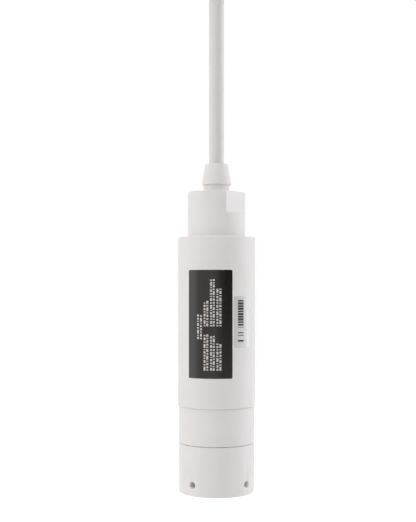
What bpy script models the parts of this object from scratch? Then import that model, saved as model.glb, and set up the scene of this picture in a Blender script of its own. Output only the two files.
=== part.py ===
"""Submersible level transmitter, hung on its own cable.

Metres, +Z up, front towards -Y. The origin is the centre of the suspension clamp's eye, and the
probe hangs below it on the Z axis. Heights in this file are measured upwards from the flat end
of the nose, and level() turns them into Z. Run it with blender --background --python part.py.
"""

from math import acos, atan2, cos, hypot, pi, radians, sin, sqrt, tan

import bmesh
import bpy
from mathutils import Vector

# Clearances that every fit shares
SEAT = 0.0003            # between faces that bear on each other
FIT = 0.0003             # round a piece in its bore
CABLE_FIT = 0.0002       # round the cable
LABEL_FIT = 0.00015      # under a label

# Smoothness of round forms
ROUND = 44               # sides of the housing
ROUND_SMALL = 28         # sides of small turned pieces
ROUND_TINY = 16          # sides of fasteners and bores
ORING_SIDES = 6          # sides of an O-ring's section
ARC_STEPS = 2            # segments in a rounded edge
WIRE_STEPS = 2           # segments between two points of a wire's route

# Nose cap
NOSE_DIAMETER = 0.0390
CAP_HEIGHT = 0.02505
CAP_FLOOR = 0.0024
CHAMBER_DIAMETER = 0.0270
CHAMBER_HEIGHT = 0.0086
CHAMBER_FILLET = 0.0010
CAP_THREAD_DIAMETER = 0.0320
NOSE_EDGE = 0.00025
PORT_DIAMETER = 0.0036
PORT_HEIGHT = 0.0056
PORT_FIRST_ANGLE = -39.5  # degrees from the front, towards +X
PORT_COUNT = 4

# Gasket between the cap's shoulder and the carrier
GASKET_THICKNESS = 0.0010
GASKET_RIM = 0.0022      # radial width

# Sensor carrier
NOSE_GROOVE = 0.0005     # open line between cap and carrier
BAND_HEIGHT = 0.01865
THREAD_RELIEF_DEPTH = 0.0008
THREAD_RELIEF_HEIGHT = 0.0016
WINDOW_DIAMETER = 0.0170
LIP_THICKNESS = 0.0024
EDGE_ROUND = 0.0003

# Pressure cell and what clamps it
CELL_DIAMETER = 0.0240
CELL_HEIGHT = 0.0080
CELL_DIAPHRAGM = 0.0012
CELL_BOND_DEPTH = 0.0003
CELL_ORING_DIAMETER = 0.0206
CELL_ORING_CORD = 0.0018
BACKING_HEIGHT = 0.0020
BACKING_BORE = 0.0140
CLAMP_RING_HEIGHT = 0.0050
CLAMP_RING_BORE = 0.0130
SPANNER_HOLE_DIAMETER = 0.0022
SPANNER_HOLE_DEPTH = 0.0030
SPANNER_HOLE_SPACING = 0.0180

# O-rings of the two spigots
SPIGOT_ORING_CORD = 0.0015
ORING_SIDE_PLAY = 0.0002
ORING_BOTTOM_PLAY = 0.0002
ORING_BAND = 0.0024      # spigot left beyond the groove

# Body tube
BODY_DIAMETER = 0.0400
BODY_LENGTH = 0.0867
BODY_WALL = 0.0050
SOCKET_STEP = 0.0009     # how much wider than the bore the end sockets are
LOWER_SOCKET_DEPTH = 0.0130
UPPER_SOCKET_DEPTH = 0.0139
BODY_TOP_ROUND = 0.0006

# Labels on the body, with angles from the front towards +X in degrees
LABEL_THICKNESS = 0.00015
LABEL_CORNER = 0.0006
LABEL_LEFT = -44.45
LABEL_RIGHT = 22.8
LABEL_BASE = 0.0597
LABEL_HEIGHT = 0.05435
STICKER_LEFT = 25.8
STICKER_RIGHT = 56.6
STICKER_BASE = 0.0751
STICKER_HEIGHT = 0.02575

# Head
HEAD_DIAMETER = 0.0297
HEAD_HEIGHT = 0.0233     # above the body
HEAD_ROUND = 0.0005
HEAD_SPIGOT_WALL = 0.0036
HEAD_CROWN = 0.0085      # solid top that the cable bore passes through
HEAD_POCKET_DIAMETER = 0.0170
HEAD_POCKET_START = 0.0018
FLAT_WIDTH = 0.0240      # across the spanner flats
FLAT_HEIGHT = 0.0116
FLAT_CORNER = 0.0010
FLAT_ANGLE = 55.0        # degrees from the front, towards +X
NECK_DIAMETER = 0.0134
NECK_HEIGHT = 0.0028
NECK_THREAD_WALL = 0.0016
NECK_THREAD_LENGTH = 0.0055
NECK_MOUTH_DEPTH = 0.0020

# Gland
NUT_HEIGHT = 0.0115
NUT_BASE_DIAMETER = 0.01535
NUT_TOP_DIAMETER = 0.0119
NUT_BEVEL = 0.0009
NUT_TOP_ROUND = 0.0007
NUT_ROOF = 0.0017
SLEEVE_WALL = 0.0009
SLEEVE_NOSE = 0.0008
SLIP_RING_THICKNESS = 0.0008

# Cable and its conductors
CABLE_DIAMETER = 0.0078
CABLE_FREE_LENGTH = 0.0929    # between gland nut and suspension clamp
CABLE_TAIL = 0.0295      # inside the gland and head, below the nut's top
CABLE_POINT_SPACING = 0.0180
CORE_DIAMETER = 0.0016
CORE_CIRCLE = 0.0044
VENT_DIAMETER = 0.0016
VENT_LENGTH = 0.0180
PULL_COLLAR_WALL = 0.0028
PULL_COLLAR_HEIGHT = 0.0045
PULL_COLLAR_SLOT = 0.0014

# Electronics
HOLDER_THICKNESS = 0.0030
HOLDER_SLOT_DEPTH = 0.0020
WIRE_WINDOW_INNER = 0.0030    # the holders' wire windows, from the axis to the front
WIRE_WINDOW_OUTER = 0.0085
WINDOW_RIM = 0.0015756   # holder left at the corners of the wire window
BOARD_RIM = 0.0027       # holder left beside the board
BOARD_THICKNESS = 0.0016
LEAD_DIAMETER = 0.0009
LEAD_PITCH = 0.0026
LEAD_INSET = 0.0020
LEAD_LANDING = 0.0120    # height of the leads' ends above the lower holder
TERMINAL_POLES = 4
TERMINAL_DEPTH = 0.0080
TERMINAL_HEIGHT = 0.0090
TERMINAL_DROP = 0.0020   # below the upper holder
TERMINAL_SCREW_DIAMETER = 0.0030
TERMINAL_SCREW_DEPTH = 0.0012
CAPACITOR_DIAMETER = 0.0080
CAPACITOR_HEIGHT = 0.0100
ARRESTER_DIAMETER = 0.0060
ARRESTER_LENGTH = 0.0080
CHIP_BEVEL = 0.0002
PROCESSOR_SIZE = (0.0100, 0.0014, 0.0100)
BUS_CHIP_SIZE = (0.0060, 0.0014, 0.0050)
REGULATOR_SIZE = (0.0066, 0.0023, 0.0062)
FRONT_PARTS_GAP = 0.0040      # between the capacitor and the arrester below it
FRONT_PARTS_RISE = 0.0006     # how far the two sit above the middle of their space
PROCESSOR_RISE = 0.0270  # centres above the lower holder
BUS_CHIP_RISE = 0.0420
REGULATOR_RISE = 0.0120

# Suspension clamp, in the clamp's own height measured from the eye
CLAMP_WIDTH = 0.0280
CLAMP_DEPTH = 0.0140
CLAMP_BELOW_EYE = 0.0320
CLAMP_SHOULDER = 0.0140  # where the sides start to lean in, below the eye
CLAMP_LUG_DIAMETER = 0.0210
CLAMP_CORNER = 0.0025
CLAMP_EDGE = 0.0010
CLAMP_CHANNEL_TOP = 0.0100
EYE_DIAMETER = 0.0110
CLAMP_SCREW_SPACING = 0.0190
CLAMP_SCREW_DROP = 0.0230
SCREW_DIAMETER = 0.0040
SCREW_HEAD_DIAMETER = 0.0070
SCREW_HEAD_HEIGHT = 0.0028
SCREW_SOCKET = 0.0030    # across the flats
SCREW_SOCKET_DEPTH = 0.0015
SCREW_TIP = 0.0010       # standing out of the nut
NUT_HEX_WIDTH = 0.0070   # across the flats
NUT_HEX_HEIGHT = 0.0032

# Radii that follow from the sizes above
NOSE_RADIUS = NOSE_DIAMETER / 2
CAP_THREAD_RADIUS = CAP_THREAD_DIAMETER / 2
CHAMBER_RADIUS = CHAMBER_DIAMETER / 2
CELL_RADIUS = CELL_DIAMETER / 2
CELL_BORE_RADIUS = CELL_RADIUS + FIT
BODY_RADIUS = BODY_DIAMETER / 2
BODY_BORE_RADIUS = BODY_RADIUS - BODY_WALL
SOCKET_RADIUS = BODY_BORE_RADIUS + SOCKET_STEP
SPIGOT_RADIUS = SOCKET_RADIUS - FIT
ORING_OUTER_RADIUS = SOCKET_RADIUS - ORING_BOTTOM_PLAY
ORING_GROOVE_RADIUS = ORING_OUTER_RADIUS - SPIGOT_ORING_CORD - ORING_BOTTOM_PLAY
ORING_GROOVE_HEIGHT = SPIGOT_ORING_CORD + 2 * ORING_SIDE_PLAY
CABLE_RADIUS = CABLE_DIAMETER / 2
CABLE_BORE_RADIUS = CABLE_RADIUS + CABLE_FIT
NECK_THREAD_RADIUS = CABLE_BORE_RADIUS + NECK_THREAD_WALL
SLEEVE_RADIUS = CABLE_BORE_RADIUS + SLEEVE_WALL
HOLDER_RADIUS = BODY_BORE_RADIUS - FIT
BOARD_WIDTH = 2 * (HOLDER_RADIUS - BOARD_RIM)
WINDOW_LENGTH = 2 * sqrt((HOLDER_RADIUS - WINDOW_RIM) ** 2 - WIRE_WINDOW_OUTER ** 2)
TERMINAL_PITCH = WINDOW_LENGTH / TERMINAL_POLES

# Heights above the nose that follow from the sizes above
GASKET_BASE = CAP_FLOOR + CHAMBER_HEIGHT + SEAT
CARRIER_BASE = GASKET_BASE + GASKET_THICKNESS + SEAT
CELL_ORING_BASE = CARRIER_BASE + LIP_THICKNESS + SEAT
CELL_BASE = CELL_ORING_BASE + CELL_ORING_CORD + SEAT
BACKING_BASE = CELL_BASE + CELL_HEIGHT + SEAT
CLAMP_RING_BASE = BACKING_BASE + BACKING_HEIGHT + SEAT
BAND_BASE = CAP_HEIGHT + NOSE_GROOVE
BAND_TOP = BAND_BASE + BAND_HEIGHT
BODY_BASE = BAND_TOP + SEAT
BODY_TOP = BODY_BASE + BODY_LENGTH
CARRIER_TOP = BODY_BASE + LOWER_SOCKET_DEPTH - SEAT
HEAD_BASE = BODY_TOP - UPPER_SOCKET_DEPTH + SEAT
HEAD_SHOULDER = BODY_TOP - SEAT
HEAD_TOP = BODY_TOP + HEAD_HEIGHT
HEAD_CEILING = HEAD_TOP - HEAD_CROWN
NECK_TOP = HEAD_TOP + NECK_HEIGHT
NECK_THREAD_TOP = NECK_TOP + NECK_THREAD_LENGTH
SLEEVE_TOP = NECK_TOP + SEAT + NUT_HEIGHT - NUT_ROOF - SEAT - SLIP_RING_THICKNESS - SEAT
NUT_BASE = NECK_TOP + SEAT
NUT_TOP = NUT_BASE + NUT_HEIGHT
SLIP_RING_BASE = SLEEVE_TOP + SEAT
LOWER_HOLDER_BASE = CARRIER_TOP + SEAT
LOWER_HOLDER_TOP = LOWER_HOLDER_BASE + HOLDER_THICKNESS
UPPER_HOLDER_TOP = HEAD_BASE - SEAT
UPPER_HOLDER_BASE = UPPER_HOLDER_TOP - HOLDER_THICKNESS
BOARD_BASE = LOWER_HOLDER_TOP - HOLDER_SLOT_DEPTH + SEAT
BOARD_TOP = UPPER_HOLDER_BASE + HOLDER_SLOT_DEPTH - SEAT
BOARD_FACE = BOARD_THICKNESS / 2 + SEAT
TERMINAL_TOP = UPPER_HOLDER_BASE - TERMINAL_DROP
TERMINAL_BASE = TERMINAL_TOP - TERMINAL_HEIGHT
LEAD_END = LOWER_HOLDER_TOP + LEAD_LANDING
FRONT_PARTS_MIDDLE = (LEAD_END + TERMINAL_BASE) / 2 + FRONT_PARTS_RISE
CAPACITOR_MIDDLE = FRONT_PARTS_MIDDLE + (FRONT_PARTS_GAP + ARRESTER_DIAMETER) / 2
ARRESTER_MIDDLE = FRONT_PARTS_MIDDLE - (FRONT_PARTS_GAP + CAPACITOR_DIAMETER) / 2
CABLE_END = NUT_TOP - CABLE_TAIL
EYE_HEIGHT = NUT_TOP + CABLE_FREE_LENGTH + CLAMP_BELOW_EYE
CABLE_TOP = EYE_HEIGHT - CLAMP_CHANNEL_TOP - SEAT

# Colour, roughness and metallic value of each finish
FINISHES = {
    "white_plastic": ((0.86, 0.85, 0.84), 0.42, 0.0),
    "white_sheath": ((0.83, 0.82, 0.81), 0.50, 0.0),
    "seal_rubber": ((0.03, 0.03, 0.03), 0.65, 0.0),
    "grey_rubber": ((0.35, 0.35, 0.35), 0.70, 0.0),
    "soft_gasket": ((0.72, 0.71, 0.69), 0.60, 0.0),
    "ceramic": ((0.90, 0.88, 0.82), 0.35, 0.0),
    "black_label": ((0.02, 0.02, 0.02), 0.35, 0.0),
    "paper": ((0.88, 0.88, 0.87), 0.60, 0.0),
    "board": ((0.02, 0.20, 0.10), 0.40, 0.0),
    "black_resin": ((0.03, 0.03, 0.03), 0.45, 0.0),
    "terminal_green": ((0.05, 0.35, 0.12), 0.50, 0.0),
    "aluminium": ((0.75, 0.75, 0.76), 0.35, 1.0),
    "steel": ((0.62, 0.62, 0.63), 0.30, 1.0),
    "nylon": ((0.16, 0.16, 0.17), 0.50, 0.0),
    "red_wire": ((0.55, 0.03, 0.02), 0.45, 0.0),
    "blue_wire": ((0.03, 0.09, 0.50), 0.45, 0.0),
    "yellow_wire": ((0.75, 0.55, 0.03), 0.45, 0.0),
    "black_wire": ((0.02, 0.02, 0.02), 0.45, 0.0),
    "clear_tube": ((0.80, 0.82, 0.82), 0.20, 0.0),
}


def level(height):
    """World Z of a height above the nose's flat end."""
    return height - EYE_HEIGHT


def clear_scene():
    for item in list(bpy.data.objects):
        bpy.data.objects.remove(item, do_unlink=True)


def make_material(name, finish):
    colour, roughness, metallic = FINISHES[finish]
    material = bpy.data.materials.new(name + "_material")
    material.use_nodes = True
    shader = material.node_tree.nodes["Principled BSDF"]
    shader.inputs["Base Color"].default_value = (*colour, 1.0)
    shader.inputs["Roughness"].default_value = roughness
    shader.inputs["Metallic"].default_value = metallic
    material.diffuse_color = (*colour, 1.0)
    return material


def add_mesh(name, shape, finish, location=(0, 0, 0), rotation=(0, 0, 0)):
    """Turn a bmesh into an object with its own material."""
    bmesh.ops.recalc_face_normals(shape, faces=shape.faces)
    mesh = bpy.data.meshes.new(name)
    shape.to_mesh(mesh)
    shape.free()
    mesh.shade_smooth()
    mesh.set_sharp_from_angle(angle=radians(32))
    item = bpy.data.objects.new(name, mesh)
    item.location = location
    item.rotation_euler = rotation
    bpy.context.collection.objects.link(item)
    if finish:
        mesh.materials.append(make_material(name, finish))
    return item


def rounded(corners):
    """Outline through (x, y, radius) corners: an arc, or a chamfer up to EDGE_ROUND."""
    points = []
    for index, (x, y, radius) in enumerate(corners):
        corner = Vector((x, y))
        if radius == 0:
            points.append(corner)
            continue
        before = (Vector(corners[index - 1][:2]) - corner).normalized()
        after = (Vector(corners[(index + 1) % len(corners)][:2]) - corner).normalized()
        half = before.angle(after) / 2
        centre = corner + (before + after).normalized() * radius / sin(half)
        start = corner + before * radius / tan(half) - centre
        end = corner + after * radius / tan(half) - centre
        first = atan2(start.y, start.x)
        sweep = atan2(start.x * end.y - start.y * end.x, start.dot(end))
        steps = ARC_STEPS if radius > EDGE_ROUND else 1
        for step in range(steps + 1):
            angle = first + sweep * step / steps
            points.append(centre + radius * Vector((cos(angle), sin(angle))))
    return points


def circle_outline(x, y, radius, sides):
    return [
        Vector((x + radius * cos(2 * pi * side / sides), y + radius * sin(2 * pi * side / sides)))
        for side in range(sides)
    ]


def turned_shape(outline, sides):
    """Spin a closed (radius, height) outline about the Z axis."""
    shape = bmesh.new()
    points = [shape.verts.new((x, 0, y)) for x, y in outline]
    edges = []
    for start, end in zip(points, points[1:] + points[:1]):
        if start.co.x > 0 or end.co.x > 0:
            edges.append(shape.edges.new((start, end)))
    bmesh.ops.spin(shape, geom=points + edges, cent=(0, 0, 0), axis=(0, 0, 1),
                   angle=2 * pi, steps=sides, use_merge=True)
    bmesh.ops.remove_doubles(shape, verts=shape.verts, dist=1e-6)
    return shape


def turned(name, corners, finish, base, sides=ROUND):
    """A turned piece from (radius, height, rounding) corners, standing on the height base."""
    return add_mesh(name, turned_shape(rounded(corners), sides), finish, (0, 0, level(base)))


def prism_shape(outline, low, high):
    """Extrude an (x, z) outline along Y from low to high."""
    shape = bmesh.new()
    face = shape.faces.new([shape.verts.new((x, low, z)) for x, z in outline])
    moved = bmesh.ops.extrude_face_region(shape, geom=[face])["geom"]
    points = [item for item in moved if isinstance(item, bmesh.types.BMVert)]
    bmesh.ops.translate(shape, verts=points, vec=(0, high - low, 0))
    return shape


def block_shape(size, bevel=0.0):
    shape = bmesh.new()
    bmesh.ops.create_cube(shape, size=1.0)
    bmesh.ops.scale(shape, verts=shape.verts, vec=size)
    if bevel:
        bmesh.ops.bevel(shape, geom=shape.edges[:], offset=bevel, segments=1, affect="EDGES")
    return shape


def cylinder_shape(radius, length, sides):
    shape = bmesh.new()
    bmesh.ops.create_cone(shape, cap_ends=True, segments=sides, radius1=radius,
                          radius2=radius, depth=length)
    return shape


def cut(target, name, shape, location=(0, 0, 0), rotation=(0, 0, 0)):
    """Subtract a shape from target with a Boolean modifier, keeping the hidden cutter."""
    cutter = add_mesh("cutter_" + name, shape, None, location, rotation)
    cutter.hide_render = True
    cutter.display_type = "WIRE"
    modifier = target.modifiers.new(name, "BOOLEAN")
    modifier.operation = "DIFFERENCE"
    modifier.solver = "EXACT"
    modifier.object = cutter
    return cutter


def smooth_route(points):
    """Catmull-Rom curve through the points."""
    route = [Vector(point) for point in points]
    ends = [2 * route[0] - route[1]] + route + [2 * route[-1] - route[-2]]
    result = []
    for a, b, c, d in zip(ends, ends[1:], ends[2:], ends[3:]):
        for step in range(WIRE_STEPS):
            t = step / WIRE_STEPS
            result.append(0.5 * (2 * b + (c - a) * t + (2 * a - 5 * b + 4 * c - d) * t * t
                                 + (3 * b - a - 3 * c + d) * t ** 3))
    return result + [route[-1]]


def wire(name, points, diameter, finish, resolution=2):
    """A round wire along the points, as a curve with filled ends."""
    curve = bpy.data.curves.new(name, "CURVE")
    curve.dimensions = "3D"
    curve.bevel_depth = diameter / 2
    curve.bevel_resolution = resolution
    curve.use_fill_caps = True
    spline = curve.splines.new("POLY")
    spline.points.add(len(points) - 1)
    for point, place in zip(spline.points, points):
        point.co = (*place, 1.0)
    curve.materials.append(make_material(name, finish))
    item = bpy.data.objects.new(name, curve)
    bpy.context.collection.objects.link(item)
    return item


def oring(name, outer_radius, cord, base, sides=ROUND):
    section = circle_outline(outer_radius - cord / 2, cord / 2, cord / 2, ORING_SIDES)
    return add_mesh(name, turned_shape(section, sides), "seal_rubber", (0, 0, level(base)))


def facing(angle, radius, height):
    """Point at an angle in degrees from the front, towards +X."""
    return (radius * sin(radians(angle)), -radius * cos(radians(angle)), level(height))


def make_nose_cap():
    bore = CAP_THREAD_RADIUS + FIT
    shoulder = CAP_FLOOR + CHAMBER_HEIGHT
    cap = turned("nose_cap", [
        (0, 0, 0),
        (NOSE_RADIUS, 0, NOSE_EDGE),
        (NOSE_RADIUS, CAP_HEIGHT, EDGE_ROUND),
        (bore, CAP_HEIGHT, 0),
        (bore, shoulder, 0),
        (CHAMBER_RADIUS, shoulder, 0),
        (CHAMBER_RADIUS, CAP_FLOOR, CHAMBER_FILLET),
        (0, CAP_FLOOR, 0),
    ], "white_plastic", 0)
    middle = (NOSE_RADIUS + CHAMBER_RADIUS) / 2
    for index in range(PORT_COUNT):
        angle = PORT_FIRST_ANGLE + 360 / PORT_COUNT * index
        drill = cylinder_shape(PORT_DIAMETER / 2, NOSE_RADIUS, ROUND_TINY)
        cut(cap, "port_%d" % (index + 1), drill, facing(angle, middle, PORT_HEIGHT),
            (pi / 2, 0, radians(angle)))
    return cap


def make_nose_gasket():
    outer = CAP_THREAD_RADIUS
    inner = outer - GASKET_RIM
    return turned("nose_gasket", [
        (inner, 0, 0),
        (outer, 0, 0),
        (outer, GASKET_THICKNESS, 0),
        (inner, GASKET_THICKNESS, 0),
    ], "soft_gasket", GASKET_BASE)


def groove_corners(start):
    """Corners of a spigot's O-ring groove, going up from start."""
    return [
        (SPIGOT_RADIUS, start, 0),
        (ORING_GROOVE_RADIUS, start, 0),
        (ORING_GROOVE_RADIUS, start + ORING_GROOVE_HEIGHT, 0),
        (SPIGOT_RADIUS, start + ORING_GROOVE_HEIGHT, 0),
    ]


def make_sensor_carrier():
    band_low = BAND_BASE - CARRIER_BASE
    band_high = BAND_TOP - CARRIER_BASE
    top = CARRIER_TOP - CARRIER_BASE
    relief = CAP_THREAD_RADIUS - THREAD_RELIEF_DEPTH
    groove = top - ORING_BAND - ORING_GROOVE_HEIGHT
    turned("sensor_carrier", [
        (WINDOW_DIAMETER / 2, 0, 0),
        (CAP_THREAD_RADIUS, 0, EDGE_ROUND),
        (CAP_THREAD_RADIUS, band_low - THREAD_RELIEF_HEIGHT, 0),
        (relief, band_low - THREAD_RELIEF_HEIGHT, 0),
        (relief, band_low, 0),
        (NOSE_RADIUS, band_low, EDGE_ROUND),
        (NOSE_RADIUS, band_high, EDGE_ROUND),
        (SPIGOT_RADIUS, band_high, 0),
        *groove_corners(groove),
        (SPIGOT_RADIUS, top, EDGE_ROUND),
        (CELL_BORE_RADIUS, top, 0),
        (CELL_BORE_RADIUS, LIP_THICKNESS, 0),
        (WINDOW_DIAMETER / 2, LIP_THICKNESS, 0),
    ], "white_plastic", CARRIER_BASE)
    oring("carrier_oring", ORING_OUTER_RADIUS, SPIGOT_ORING_CORD,
          CARRIER_BASE + groove + ORING_SIDE_PLAY)


def make_pressure_cell():
    oring("cell_oring", CELL_ORING_DIAMETER / 2 + CELL_ORING_CORD / 2, CELL_ORING_CORD,
          CELL_ORING_BASE, ROUND_SMALL)
    bond = CELL_RADIUS - CELL_BOND_DEPTH
    turned("ceramic_cell", [
        (0, 0, 0),
        (CELL_RADIUS, 0, 0),
        (CELL_RADIUS, CELL_DIAPHRAGM, 0),
        (bond, CELL_DIAPHRAGM, 0),
        (bond, CELL_DIAPHRAGM + CELL_BOND_DEPTH, 0),
        (CELL_RADIUS, CELL_DIAPHRAGM + CELL_BOND_DEPTH, 0),
        (CELL_RADIUS, CELL_HEIGHT, 0),
        (0, CELL_HEIGHT, 0),
    ], "ceramic", CELL_BASE, ROUND_SMALL)
    turned("cell_backing_ring", [
        (BACKING_BORE / 2, 0, 0),
        (CELL_RADIUS, 0, 0),
        (CELL_RADIUS, BACKING_HEIGHT, 0),
        (BACKING_BORE / 2, BACKING_HEIGHT, 0),
    ], "soft_gasket", BACKING_BASE, ROUND_SMALL)
    ring = turned("cell_clamp_ring", [
        (CLAMP_RING_BORE / 2, 0, 0),
        (CELL_RADIUS, 0, 0),
        (CELL_RADIUS, CLAMP_RING_HEIGHT, EDGE_ROUND),
        (CLAMP_RING_BORE / 2, CLAMP_RING_HEIGHT, EDGE_ROUND),
    ], "white_plastic", CLAMP_RING_BASE, ROUND_SMALL)
    top = level(CLAMP_RING_BASE + CLAMP_RING_HEIGHT)
    for side in (-1, 1):
        drill = cylinder_shape(SPANNER_HOLE_DIAMETER / 2, 2 * SPANNER_HOLE_DEPTH, ROUND_TINY)
        cut(ring, "spanner_hole_%s" % ("left" if side < 0 else "right"), drill,
            (side * SPANNER_HOLE_SPACING / 2, 0, top))


def make_body_tube():
    lower = LOWER_SOCKET_DEPTH
    upper = BODY_LENGTH - UPPER_SOCKET_DEPTH
    return turned("body_tube", [
        (BODY_RADIUS, 0, EDGE_ROUND),
        (BODY_RADIUS, BODY_LENGTH, BODY_TOP_ROUND),
        (SOCKET_RADIUS, BODY_LENGTH, 0),
        (SOCKET_RADIUS, upper, 0),
        (BODY_BORE_RADIUS, upper, 0),
        (BODY_BORE_RADIUS, lower, 0),
        (SOCKET_RADIUS, lower, 0),
        (SOCKET_RADIUS, 0, 0),
    ], "white_plastic", BODY_BASE)


def curved_plate(name, left, right, base, height, finish):
    """A thin plate wrapped on the body tube, with rounded corners."""
    inner = BODY_RADIUS + LABEL_FIT
    outer = inner + LABEL_THICKNESS
    corner = LABEL_CORNER / outer
    first, last = radians(left), radians(right)
    spans = max(2, round((last - first) / radians(5)))
    insets = [corner * (1 - cos(pi / 2 * step / ARC_STEPS)) for step in range(ARC_STEPS)]
    angles = [first + inset for inset in insets]
    angles += [first + corner + (last - first - 2 * corner) * step / spans
               for step in range(spans + 1)]
    angles += [last - inset for inset in reversed(insets)]
    shape = bmesh.new()
    columns = []
    for angle in angles:
        inside = min(angle - first, last - angle, corner) * outer
        drop = LABEL_CORNER - sqrt(max(0, LABEL_CORNER ** 2 - (LABEL_CORNER - inside) ** 2))
        low, high = base + drop, base + height - drop
        columns.append([
            shape.verts.new((radius * sin(angle), -radius * cos(angle), level(z)))
            for radius, z in ((inner, low), (outer, low), (outer, high), (inner, high))
        ])
    for left_column, right_column in zip(columns, columns[1:]):
        for side in range(4):
            shape.faces.new((left_column[side], right_column[side],
                             right_column[side - 3], left_column[side - 3]))
    shape.faces.new(columns[0])
    shape.faces.new(columns[-1])
    return add_mesh(name, shape, finish)


def make_labels():
    curved_plate("label_plate", LABEL_LEFT, LABEL_RIGHT, LABEL_BASE, LABEL_HEIGHT, "black_label")
    curved_plate("code_sticker", STICKER_LEFT, STICKER_RIGHT, STICKER_BASE, STICKER_HEIGHT,
                 "paper")


def make_head():
    shoulder = HEAD_SHOULDER - HEAD_BASE
    top = HEAD_TOP - HEAD_BASE
    ceiling = HEAD_CEILING - HEAD_BASE
    collar = NECK_TOP - HEAD_BASE
    mouth = NECK_THREAD_TOP - HEAD_BASE
    spigot_bore = SPIGOT_RADIUS - HEAD_SPIGOT_WALL
    pocket = HEAD_POCKET_DIAMETER / 2
    pocket_start = shoulder + HEAD_POCKET_START
    head = turned("head", [
        (spigot_bore, 0, 0),
        (SPIGOT_RADIUS, 0, EDGE_ROUND),
        *groove_corners(ORING_BAND),
        (SPIGOT_RADIUS, shoulder, 0),
        (HEAD_DIAMETER / 2, shoulder, 0),
        (HEAD_DIAMETER / 2, top, HEAD_ROUND),
        (NECK_DIAMETER / 2, top, 0),
        (NECK_DIAMETER / 2, collar, EDGE_ROUND),
        (NECK_THREAD_RADIUS, collar, 0),
        (NECK_THREAD_RADIUS, mouth, EDGE_ROUND),
        (SLEEVE_RADIUS, mouth, 0),
        (CABLE_BORE_RADIUS, mouth - NECK_MOUTH_DEPTH, 0),
        (CABLE_BORE_RADIUS, ceiling, 0),
        (pocket, ceiling, 0),
        (pocket, pocket_start, 0),
        (spigot_bore, pocket_start - (spigot_bore - pocket), 0),
    ], "white_plastic", HEAD_BASE)
    oring("head_oring", ORING_OUTER_RADIUS, SPIGOT_ORING_CORD,
          HEAD_BASE + ORING_BAND + ORING_SIDE_PLAY)
    reach = HEAD_DIAMETER
    outline = rounded([
        (FLAT_WIDTH / 2, -FLAT_HEIGHT, FLAT_CORNER),
        (reach, -FLAT_HEIGHT, 0),
        (reach, FLAT_HEIGHT, 0),
        (FLAT_WIDTH / 2, FLAT_HEIGHT, 0),
    ])
    for side, name in ((0, "flat_front"), (180, "flat_back")):
        cut(head, name, prism_shape(outline, -reach, reach), (0, 0, level(HEAD_TOP)),
            (0, 0, radians(FLAT_ANGLE - 90 + side)))
    return head


def make_gland():
    turned("gland_sleeve", [
        (CABLE_BORE_RADIUS, NECK_THREAD_TOP - SLEEVE_NOSE, 0),
        (SLEEVE_RADIUS - SLEEVE_NOSE * SLEEVE_WALL / NECK_MOUTH_DEPTH - FIT,
         NECK_THREAD_TOP - SLEEVE_NOSE, 0),
        (SLEEVE_RADIUS - FIT, NECK_THREAD_TOP, 0),
        (SLEEVE_RADIUS - FIT, NECK_THREAD_TOP + SEAT, 0),
        (SLEEVE_RADIUS, NECK_THREAD_TOP + SEAT, 0),
        (SLEEVE_RADIUS, SLEEVE_TOP, EDGE_ROUND),
        (CABLE_BORE_RADIUS, SLEEVE_TOP, 0),
    ], "grey_rubber", 0, ROUND_SMALL)
    turned("gland_slip_ring", [
        (CABLE_BORE_RADIUS, 0, 0),
        (SLEEVE_RADIUS, 0, 0),
        (SLEEVE_RADIUS, SLIP_RING_THICKNESS, 0),
        (CABLE_BORE_RADIUS, SLIP_RING_THICKNESS, 0),
    ], "soft_gasket", SLIP_RING_BASE, ROUND_SMALL)
    thread = NECK_THREAD_RADIUS + FIT
    cavity = SLEEVE_RADIUS + FIT
    thread_top = NECK_THREAD_TOP + SEAT - NUT_BASE
    return turned("gland_nut", [
        (thread, 0, 0),
        (NUT_BASE_DIAMETER / 2 - NUT_BEVEL, 0, 0),
        (NUT_BASE_DIAMETER / 2, NUT_BEVEL, 0),
        (NUT_TOP_DIAMETER / 2, NUT_HEIGHT, NUT_TOP_ROUND),
        (CABLE_BORE_RADIUS, NUT_HEIGHT, 0),
        (CABLE_BORE_RADIUS, NUT_HEIGHT - NUT_ROOF, 0),
        (cavity, NUT_HEIGHT - NUT_ROOF, 0),
        (cavity, thread_top, 0),
        (thread, thread_top, 0),
    ], "white_plastic", NUT_BASE, ROUND_SMALL)


def make_cable():
    length = CABLE_TOP - CABLE_END
    spans = max(2, round(length / CABLE_POINT_SPACING))
    points = [(0, 0, level(CABLE_END + length * step / spans)) for step in range(spans + 1)]
    wire("cable", points, CABLE_DIAMETER, "white_sheath", 4)
    collar = turned("pull_collar", [
        (CABLE_BORE_RADIUS, 0, 0),
        (CABLE_BORE_RADIUS + PULL_COLLAR_WALL, 0, EDGE_ROUND),
        (CABLE_BORE_RADIUS + PULL_COLLAR_WALL, PULL_COLLAR_HEIGHT, EDGE_ROUND),
        (CABLE_BORE_RADIUS, PULL_COLLAR_HEIGHT, 0),
    ], "steel", HEAD_CEILING - SEAT - PULL_COLLAR_HEIGHT, ROUND_SMALL)
    slot = block_shape((PULL_COLLAR_SLOT, CABLE_DIAMETER, 2 * PULL_COLLAR_HEIGHT))
    cut(collar, "collar_slot", slot,
        (0, CABLE_BORE_RADIUS + PULL_COLLAR_WALL / 2, level(HEAD_CEILING - PULL_COLLAR_HEIGHT)))


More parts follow.
